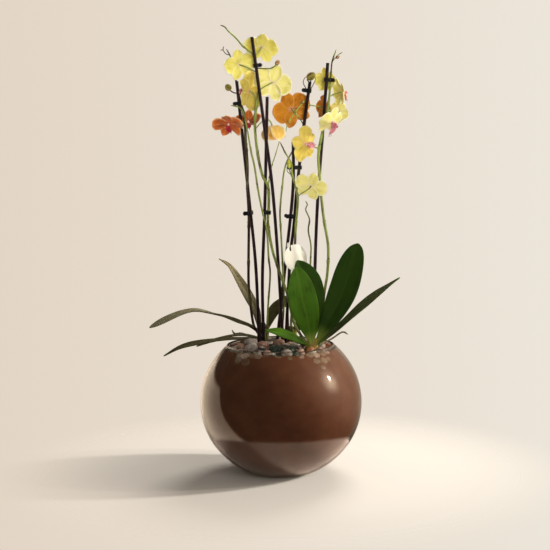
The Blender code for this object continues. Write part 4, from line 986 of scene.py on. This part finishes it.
# ---- Crowns, leaves and roots -----------------------------------------------------------------------
def make_crown(name, flesh, sheath, young):
    """A crown: the short thick stem that the leaves grow from, wrapped in the bases of old leaves. The right
    one is stouter, with a bare bulb at its front."""
    _, up = CROWNS[name]
    tall = up * MM
    full = CROWN_R + (1.0 * MM if name == "crown_right" else 0)
    heights = [(-14 * MM, 0.0), (-14 * MM, 0.6), (-6 * MM, 0.9), (0.2 * tall, 1.0), (0.5 * tall, 0.97),
               (0.8 * tall, 0.78), (tall, 0.45), (1.04 * tall, 0.0)]
    shape = bmesh.new()
    spun(shape, [(full * share, z) for z, share in heights], 24)
    bmesh.ops.translate(shape, vec=crown_centre(name), verts=shape.verts)
    body = finish_piece(name.replace("crown", "crown_stem"), shape, [flesh], [name])
    soften(body)
    wraps = new_shape()
    for i in range(5):
        side = 40 + 137.5 * i
        out = around(ORIGIN, 1, side)
        turn = set_to(UP.cross(out), UP, out)
        spot = crown_centre(name) + out * full * 1.02 + Vector((0, 0, (0.05 + 0.07 * i) * tall))
        blade(wraps, Matrix.Translation(spot) @ turn, (0.55 + 0.07 * i) * tall + 4 * MM, 0.95 * full,
              arch=-0.3, cup=0.85, claw=0.95, widest=0.2, tip=0.8, rows=8, columns=10,
              material=1 if i == 2 else 0)
    if name == "crown_right":
        spot = crown_centre(name) + Vector((-3 * MM, -11 * MM, 4 * MM))
        egg(wraps, spot, 13 * MM, 15 * MM, (0.15, -0.35, 1), 20, 14, material=2)
    bases = finish_piece(name.replace("crown", "leaf_bases"), wraps, [sheath, young, flesh])
    solidify(bases, 0.8 * MM)


def make_leaf(name, upper, under):
    """A strap leaf: a shallow keeled blade from a grid, thick along its midrib, its rim gently waved."""
    crown, side, up, route, width, face_root, face_tip, widest, tip = LEAVES[name]
    base = around(crown_centre(crown), CROWN_R + SEAT_GAP, side)
    base.z += up * MM
    line = curve_through([base, *[planted(p) for p in route]], 4 * MM)
    keel = 0.16
    clasp = 5 / width
    phase = len(name) + width
    shape = new_shape()
    made = bmesh.ops.create_grid(shape, x_segments=12, y_segments=40, size=1, calc_uvs=True)
    for vert in made["verts"]:
        across, t = vert.co.x, (vert.co.y + 1) / 2
        place, along = along_route(line, t)
        face = Vector(face_root).lerp(Vector(face_tip), t)
        right = along.cross(face).normalized()
        lift_way = right.cross(along).normalized()
        if t < widest:
            swell = clasp + (1 - clasp) * math.sin(math.pi * t / widest / 2)
        else:
            swell = max(0.0, 1 - ((t - widest) / (1 - widest)) ** 2) ** tip
        half = width * MM / 2 * max(0.04, swell)
        lift = keel * half * (math.sqrt(across**2 + 0.01) - 0.1)
        lift += 0.9 * MM * across**2 * math.sin(phase + 11 * t + across) * min(1.0, 3 * t)
        lift -= 0.35 * MM * math.exp(-((across * half / MM) ** 2))
        vert.co = place + right * across * half + lift_way * lift
    thick = [1 - 0.75 * abs(2 * (i % 13) / 12 - 1) ** 3 for i in range(len(made["verts"]))]
    piece = finish_piece(name.replace("leaf", "blade"), shape, [upper, under],
                         [name])
    group = piece.vertex_groups.new(name="midrib")
    for i, weight in enumerate(thick):
        group.add([i], weight, "REPLACE")
    solidify(piece, LEAF_THICKNESS, 1, "midrib")
    soften(piece)


def make_root(name, skin):
    """An aerial root: a wandering cord of uneven thickness with a blunt tip."""
    crown, side, up, route, across = ROOTS[name]
    base = around(crown_centre(crown), CROWN_R + SEAT_GAP, side)
    base.z += up * MM
    line = curve_through([base, *[planted(p) for p in route]], 2.5 * MM)
    radii = [across * MM / 2 * (1 + 0.22 * noise.noise(p * 160)) for p in line]
    radii[-2:] = [0.7 * radii[-2], 0.35 * radii[-1]]
    shape = bmesh.new()
    tube(shape, line, radii, 12)
    finish_piece(name.replace("root", "aerial_root"), shape, [skin], [name])


# ---- Flowers ----------------------------------------------------------------------------------------
# Petals and sepals: the way each points on the flower's face, its length and half width as shares of half
# the span, and whether it is one of the two broad petals.
TEPALS = [(90, 0.97, 0.35, False), (234, 0.96, 0.34, False), (306, 0.96, 0.34, False),
          (8, 1.0, 0.54, True), (172, 1.0, 0.54, True)]


def flower_frame(centre, face, turn):
    """A matrix with X to the flower's right, Y up its face and Z out of it."""
    out = Vector(face).normalized()
    right = UP.cross(out)
    right = right.normalized() if right.length > 0.05 else Vector((1, 0, 0))
    up = out.cross(right).normalized()
    return Matrix.Translation(planted(centre)) @ set_to(right, up, out) @ turned(turn, "Z")


def make_flower(name, petals, lip, callus, column):
    """A moth orchid's flower: three sepals behind two broad petals, and the lip and column in front."""
    centre, face, turn, span, bend, _, _, colouring = FLOWERS[name]
    chance = random.Random(name)
    place = flower_frame(centre, face, turn)
    half = span * MM / 2
    bell = bend < -0.3
    shape = new_shape()
    for way, length, half_width, broad in TEPALS:
        level = 0.45 * MM if broad else -0.45 * MM
        at = turned(way - 90 + chance.uniform(-3, 3), "Z") @ Matrix.Translation((0, 0.6 * MM, level))
        blade(shape, place @ at, half * length * (1.6 if bell else 1.0) * chance.uniform(0.96, 1.0),
              half * half_width * chance.uniform(0.98, 1.04), arch=-1.85 if bell else 4 * bend,
              cup=chance.uniform(0.0, 0.34), claw=0.2 if broad else 0.3, widest=0.56 if broad else 0.48,
              tip=0.5 if broad else 0.62, ruffle=chance.uniform(1.2, 2.6) * MM, phase=chance.uniform(0, 6),
              groove=0.3 * MM, rows=14, columns=10)
    piece = finish_piece(f"{name}_petals", shape, [petals], [name])
    solidify(piece, PETAL_THICKNESS)
    soften(piece)
    make_lip(name, place, half, lip, callus, column)


def make_lip(name, place, half, lip, callus, column):
    """The lip: a tongue with two curled whiskers, two side lobes that stand up round the callus, and over
    them the column with its cap."""
    long = 0.46 * half * (1.7 if name == "flower_13" else 1.15)
    shape = new_shape()
    tongue = place @ Matrix.Translation((0, -1.2 * MM, 1.6 * MM)) @ turned(180, "Z") @ turned(42, "X")
    blade(shape, tongue, long, 0.36 * long, arch=1.0, cup=-0.5, claw=0.35, widest=0.42, tip=0.8, rows=10,
          columns=8)
    for side in (-1, 1):
        root = Matrix.Translation((side * 1.4 * MM, -1.0 * MM, 1.6 * MM))
        lobe = place @ root @ turned(-62 * side, "Z") @ turned(58, "X")
        blade(shape, lobe, 0.62 * long, 0.26 * long, arch=-0.9, cup=-0.45, claw=0.4, widest=0.55, tip=0.5,
              rows=8, columns=6)
    piece = finish_piece(f"{name}_lip", shape, [lip])
    solidify(piece, 0.6 * MM)
    soften(piece)
    fine = bmesh.new()
    level = place.to_3x3()
    spot = place @ Vector((0, -2.2 * MM, 3.2 * MM))
    egg(fine, spot, 2.6 * MM, 2.2 * MM, level @ Vector((0, -0.3, 1)), 12, 8)
    spot = place @ Vector((0, 0.6 * MM, 3.0 * MM))
    egg(fine, spot, 7.0 * MM, 3.6 * MM, level @ Vector((0, -0.25, 1)), 16, 10, material=1)
    end = tongue @ Vector((0, 0.78 * long, -0.3 * long))
    curl = 2.2 if name == "flower_13" else 1.0
    for side in (-1, 1):
        points = []
        for i in range(9):
            t = i / 8
            reach = Vector((side * (0.6 + 2.4 * math.sin(2.6 * t)), -3.4 * t * curl, 2.2 * math.sin(3 * t)))
            points.append(end + level @ (reach * MM * 0.8))
        tube(fine, points, [0.45 * MM * (1 - 0.6 * i / 8) for i in range(9)], 8, material=2)
    finish_piece(f"{name}_column", fine, [callus, column, lip])


# ---- Stage, lights and camera -----------------------------------------------------------------------
TOWARD_KEY = (0.91, 0.112, 0.4)  # the sun-like key, and the lamp that the glass shows as its spark
TOWARD_SPARK = (0.9, -0.046, 0.452)
FLOOR_FADES = (0.17, 0.48)  # metres out, from all floor to none
MIRRORED_FLOOR_R = 0.168
WARM_WHITE = (1.0, 0.97, 0.92)
SENSOR = 36  # mm
LENS_REACH = 1390 / 550  # focal length as a share of the sensor
CAMERA_SPOT = (-0.0075, -2.12, 0.539)
CAMERA_DIP = 6.3  # degrees below level, and how far it is rolled
CAMERA_ROLL = -0.5


def make_stage():
    """A pale floor that melts into the backdrop half a metre out. The glass mirrors it as a smaller, warmer
    round of stone."""
    shape = bmesh.new()
    bmesh.ops.create_circle(shape, cap_ends=True, segments=96, radius=6)
    floor = in_scene("floor", shape)
    made, tree = new_material("pale_floor")
    where = add(tree, "TexCoord").outputs["Object"]
    reach = add(tree, "VectorMath", {0: where}, operation="LENGTH")
    far = add(tree, "MapRange", {"Value": reach, "From Min": FLOOR_FADES[0], "From Max": FLOOR_FADES[1]},
              interpolation_type="SMOOTHSTEP")
    stone = add(tree, "BsdfDiffuse", {"Color": linear("#efe8df")})
    gone = add(tree, "BsdfTransparent")
    swept = add(tree, "MixShader", {0: far, 1: stone, 2: gone})
    edge = add(tree, "Math", {0: reach, 1: MIRRORED_FLOOR_R}, operation="GREATER_THAN")
    warm = add(tree, "BsdfDiffuse", {"Color": linear("#f6ddcd")})
    mirrored = add(tree, "MixShader", {0: edge, 1: warm, 2: gone})
    path = add(tree, "LightPath")
    lit = add(tree, "Math", {0: path.outputs["Diffuse Depth"], 1: 0.5}, operation="GREATER_THAN")
    plain = add(tree, "Math", {0: path.outputs["Is Camera Ray"], 1: lit}, operation="MAXIMUM")
    mixed = add(tree, "MixShader", {0: plain, 1: mirrored, 2: swept})
    floor.data.materials.append(surfaced(made, mixed))


def make_world():
    """A cream studio: an even backdrop and soft light all round, and, for gloss and glass alone, the bright
    wall at the left, a high window behind, the dim room in front, and a halo and a wide veil round the lamp
    that the glass shows as its spark."""
    world = bpy.data.worlds.new("studio")
    bpy.context.scene.world = world
    world.use_nodes = True
    tree = world.node_tree
    tree.nodes.clear()
    way = add(tree, "TexCoord").outputs["Generated"]
    split = add(tree, "SeparateXYZ", {0: way})
    sweep = add(tree, "MapRange", {"Value": split.outputs[0], "From Min": -0.2, "From Max": 0.2})
    cream = add(tree, "Mix", {0: sweep, 6: linear("#e3d5c5"), 7: linear("#ece5d9")}, data_type="RGBA")
    seen = add(tree, "Background", {"Color": cream, "Strength": 1.0})
    side = add(tree, "VectorMath", {0: way, 1: (0.0, 1.0, -0.45)}, operation="DOT_PRODUCT")
    side = add(tree, "MapRange", {"Value": side, "From Min": 0.08, "From Max": 0.14})
    top = add(tree, "MapRange", {"Value": split.outputs[2], "From Min": 0.26, "From Max": 0.19})
    lean = add(tree, "VectorMath", {0: way, 1: (0.8, 0.0, 1.0)}, operation="DOT_PRODUCT")
    lean = add(tree, "MapRange", {"Value": lean, "From Min": -0.08, "From Max": -0.18})
    top = add(tree, "Math", {0: top, 1: lean}, operation="MULTIPLY")
    right = add(tree, "MapRange", {"Value": split.outputs[0], "From Min": 0.0, "From Max": 0.15,
                                   "To Max": 0.8})
    top = add(tree, "Math", {0: top, 1: right}, operation="MAXIMUM")
    wall = add(tree, "Math", {0: side, 1: top}, operation="MULTIPLY")
    across = add(tree, "MapRange", {"Value": split.outputs[0], "From Min": -1.0, "From Max": 1.0})
    across = add(tree, "ValToRGB", {0: across}, stops=[(0.02, 0.85), (0.1, 1.2), (0.25, 1.3), (0.36, 1.0),
                                                       (0.62, 0.5), (0.9, 0.25)])
    wall = add(tree, "Math", {0: wall, 1: across}, operation="MULTIPLY")
    low = add(tree, "MapRange", {"Value": split.outputs[2], "From Min": -0.5, "From Max": -0.2})
    left = add(tree, "MapRange", {"Value": split.outputs[0], "From Min": -0.3, "From Max": -0.6})
    kept = add(tree, "Math", {0: low, 1: left}, operation="MAXIMUM")
    wall = add(tree, "Math", {0: wall, 1: kept}, operation="MULTIPLY")
    dim = add(tree, "Math", {0: wall, 1: 0.05}, operation="MAXIMUM")
    high = add(tree, "MapRange", {"Value": split.outputs[2], "From Min": 0.62, "From Max": 0.75})
    rear = add(tree, "MapRange", {"Value": split.outputs[1], "From Min": 0.2, "From Max": 0.4})
    window = add(tree, "Math", {0: high, 1: rear}, operation="MULTIPLY")
    level = add(tree, "Math", {0: dim, 1: window}, operation="MAXIMUM")
    near = add(tree, "VectorMath", {0: way, 1: Vector(TOWARD_SPARK).normalized()}, operation="DOT_PRODUCT")
    near = add(tree, "Math", {0: near, 1: 0.0}, operation="MAXIMUM")
    halo = add(tree, "Math", {0: near, 1: 70.0}, operation="POWER")
    veil = add(tree, "Math", {0: near, 1: 6.0}, operation="POWER")
    veil = add(tree, "Math", {0: veil, 1: 0.75, 2: level}, operation="MULTIPLY_ADD")
    level = add(tree, "Math", {0: halo, 1: 5.0, 2: veil}, operation="MULTIPLY_ADD")
    room = add(tree, "Background", {"Color": linear("#f6dcc0"), "Strength": level})
    soft = add(tree, "Background", {"Color": linear("#f2ebe2"), "Strength": 0.25})
    path = add(tree, "LightPath")
    lit = add(tree, "Math", {0: path.outputs["Diffuse Depth"], 1: 0.5}, operation="GREATER_THAN")
    mirrored = add(tree, "MixShader", {0: lit, 1: room, 2: soft})
    mixed = add(tree, "MixShader", {0: path.outputs["Is Camera Ray"], 1: mirrored, 2: seen})
    add(tree, "OutputWorld", {"Surface": mixed})


def make_lamp(name, way, distance, size, watts, aim=0.25, spread=180, mirrored=False):
    """A round soft lamp that looks from a direction at the height aim on the middle axis. distance and size
    are in metres, spread is the angle of its beam, and mirrored shows it in gloss and glass."""
    lamp = bpy.data.lights.new(name, "AREA")
    lamp.shape = "DISK"
    lamp.size = size
    lamp.energy = watts
    lamp.spread = math.radians(spread)
    lamp.color = WARM_WHITE
    obj = in_scene(name, lamp)
    toward = Vector(way).normalized()
    obj.location = Vector((0, 0, aim)) + toward * distance
    obj.rotation_euler = toward.to_track_quat("Z", "Y").to_euler()
    obj.visible_glossy = mirrored
    obj.visible_transmission = mirrored


def make_camera():
    """The camera: 2.12 m in front and 539 mm up, looking 6.3 degrees down through a 91 mm lens."""
    camera = bpy.data.cameras.new("camera")
    camera.sensor_width = SENSOR
    camera.lens = SENSOR * LENS_REACH
    camera.clip_end = 50
    obj = in_scene("camera", camera)
    obj.matrix_world = Matrix.Translation(CAMERA_SPOT) @ turned(90 - CAMERA_DIP, "X") @ turned(
        CAMERA_ROLL, "Z")
    bpy.context.scene.camera = obj


def main():
    """Makes every finish and piece, then the room round them."""
    bpy.context.scene.view_settings.view_transform = "Standard"
    make_bowl(clear_glass())
    make_soil(potting_soil())
    make_pebbles([
        pebble_finish("grey_granite_pebble", "#b3a89c", "#8a7c70", "#4c4742", 0.5, 6 * MM),
        pebble_finish("pink_quartzite_pebble", "#b08a76", "#8b6553", "#d6c3b4", 0.42, 8 * MM),
        pebble_finish("banded_slate_pebble", "#3b3833", "#b9ab9c", "#6d645b", 0.4, 22 * MM, banded=True),
        pebble_finish("dark_green_pebble", "#2b352d", "#3d4a3d", "#71796c", 0.22, 9 * MM),
        pebble_finish("buff_chert_pebble", "#8f6a4c", "#6a4a30", "#b08e6e", 0.55, 7 * MM)])
    bamboo = stained_bamboo()
    for name in STAKES:
        make_stake(name, bamboo)
    green = flower_stem("green_flower_stem", "#828f43", "#4a4526", 0.42)
    dark = flower_stem("dark_flower_stem", "#565430", "#2e1e1e", 0.54)
    fresh = flower_stem("fresh_flower_stalk", "#98a650", "#7a6a3c", 0.38)
    scale = soft_flesh("dry_bract", "#6b6538", "#33281d", 3 * MM, 0.6)
    olive = soft_flesh("olive_bud", "#8a7c34", "#5f5524", 4 * MM)
    pinkish = soft_flesh("pink_brown_bud", "#b08d62", "#87603f", 3 * MM)
    greenish = soft_flesh("yellow_green_bud", "#c2c24a", "#98a338", 3 * MM)
    bud_skin = {"bud_left": olive, "bud_top": pinkish, "bud_small": pinkish, "bud_green": greenish,
                "bud_leaning": olive}
    for name in SPIKES:
        make_spike(name, dark if name in ("spike_left", "spike_leaning") else green, fresh, scale, bud_skin)
    flesh = soft_flesh("crown_flesh", "#4a3d24", "#2b2317", 6 * MM, 0.6)
    bulb = soft_flesh("right_crown_flesh", "#c89260", "#96653c", 6 * MM, 0.5)
    sheath = soft_flesh("old_leaf_base", "#5d5a34", "#3a3220", 4 * MM, 0.6)
    bright_sheath = soft_flesh("young_leaf_base", "#9aa44a", "#b08350", 6 * MM, 0.5)
    for name in CROWNS:
        right = name == "crown_right"
        make_crown(name, bulb if right else flesh, bright_sheath if right else sheath, bright_sheath)
    young = leaf_finish("young_leaf_face", "#456c12", "#355608", "#6f8f30", "#a9b957", 0.42)
    mature = leaf_finish("mature_leaf_face", "#2b440f", "#1f3508", "#44591f", "#8ba33f", 0.4)
    old = leaf_finish("old_leaf_face", "#8c876a", "#68664a", "#a09b80", "#4f4a2e", 0.42)
    # A darker copy of the old leaf face: painted shade for the leaves that lie low, under and behind, and
    # for the middle one.
    shaded = leaf_finish("painted_shade_leaf_face", "#4d4a2c", "#36351f", "#6b6748", "#4d4a2c", 0.5)
    young_back = leaf_finish("young_leaf_back", "#7c8b45", "#66773a", "#93a05c", "#a3ac5a", 0.5)
    old_back = leaf_finish("old_leaf_back", "#6e6647", "#4f4930", "#857d5c", "#3f371f", 0.55)
    # A paler copy of the old leaf finish for the upper left leaf: painted light where the lamps reach it
    # little. It is darker from its base over four fifths of its length.
    painted_light_leaf = leaf_finish("painted_light_leaf_face", "#857b5a", "#655c3f", "#958c6c", "#332c17", 0.55, 0.8)
    olive_face = leaf_finish("olive_leaf_face", "#4d5630", "#394022", "#646d3e", "#7c8c3c", 0.42)
    faces = {"leaf_left_upper": painted_light_leaf, "leaf_left_long": old, "leaf_right_long": olive_face,
             "leaf_right_front": young, "leaf_right_low": young, "leaf_right_rear": mature,
             "leaf_right_broad": mature}
    # Leaves left out of faces get the darker face, painted shade.
    for name in LEAVES:
        make_leaf(name, faces.get(name, shaded), young_back if "right" in name else old_back)
    velamen = soft_flesh("root_velamen", "#8b8468", "#4d4533", 3 * MM, 0.75)
    for name in ROOTS:
        make_root(name, velamen)
    finishes = {
        "lemon": petal_finish("lemon_petal", "#efe578", "#dacd55", "#f7f4c0", "#eed9b8"),
        "primrose": petal_finish("primrose_petal", "#f5ed96", "#e3d974", "#fdfae6", "#f3e0c4"),
        "gold": petal_finish("gold_petal", "#e2cb58", "#c9ae42", "#eee29a", "#dba78c"),
        "honey": petal_finish("honey_petal", "#ffe47c", "#f8c756", "#fffae6", "#fdf6dc", 0.35),
        "orange": petal_finish("orange_petal", "#cd861e", "#ab6412", "#e4a650", "#d9a184"),
        "flame": petal_finish("flame_petal", "#d46c22", "#9c3a10", "#f6d294", "#a8324a"),
    }
    pink = petal_finish("pink_lip", "#d4808a", "#b03a55", "#f0c9bd", "#a82a48")
    crimson = petal_finish("crimson_lip", "#b5202e", "#7d0f22", "#d0484c", "#8e1436")
    yellow = soft_flesh("lip_callus", "#e9c63c", "#c96a2c", 1.5 * MM)
    cap = soft_flesh("flower_column", "#f0d9cf", "#d48aa0", 2 * MM)
    for name, plan in FLOWERS.items():
        make_flower(name, finishes[plan[-1]], crimson if plan[-1] == "flame" else pink, yellow, cap)
    plastic = moulded_polypropylene()
    for name in CLIPS:
        make_clip(name, plastic)
    make_tag(coated_card())
    make_stage()
    make_world()
    make_lamp("key", TOWARD_KEY, 2.6, 0.2, 58)
    make_lamp("spark", TOWARD_SPARK, 2.6, 0.16, 14.0, mirrored=True)
    make_lamp("back", (0.3, 0.85, 0.75), 2.4, 1.2, 32)
    make_lamp("fill", (0.35, -0.85, 0.45), 2.8, 1.6, 8)
    make_lamp("blooms", (0.12, -0.98, 0.02), 1.7, 0.5, 0.68, aim=0.57, spread=22)
    make_camera()


main()
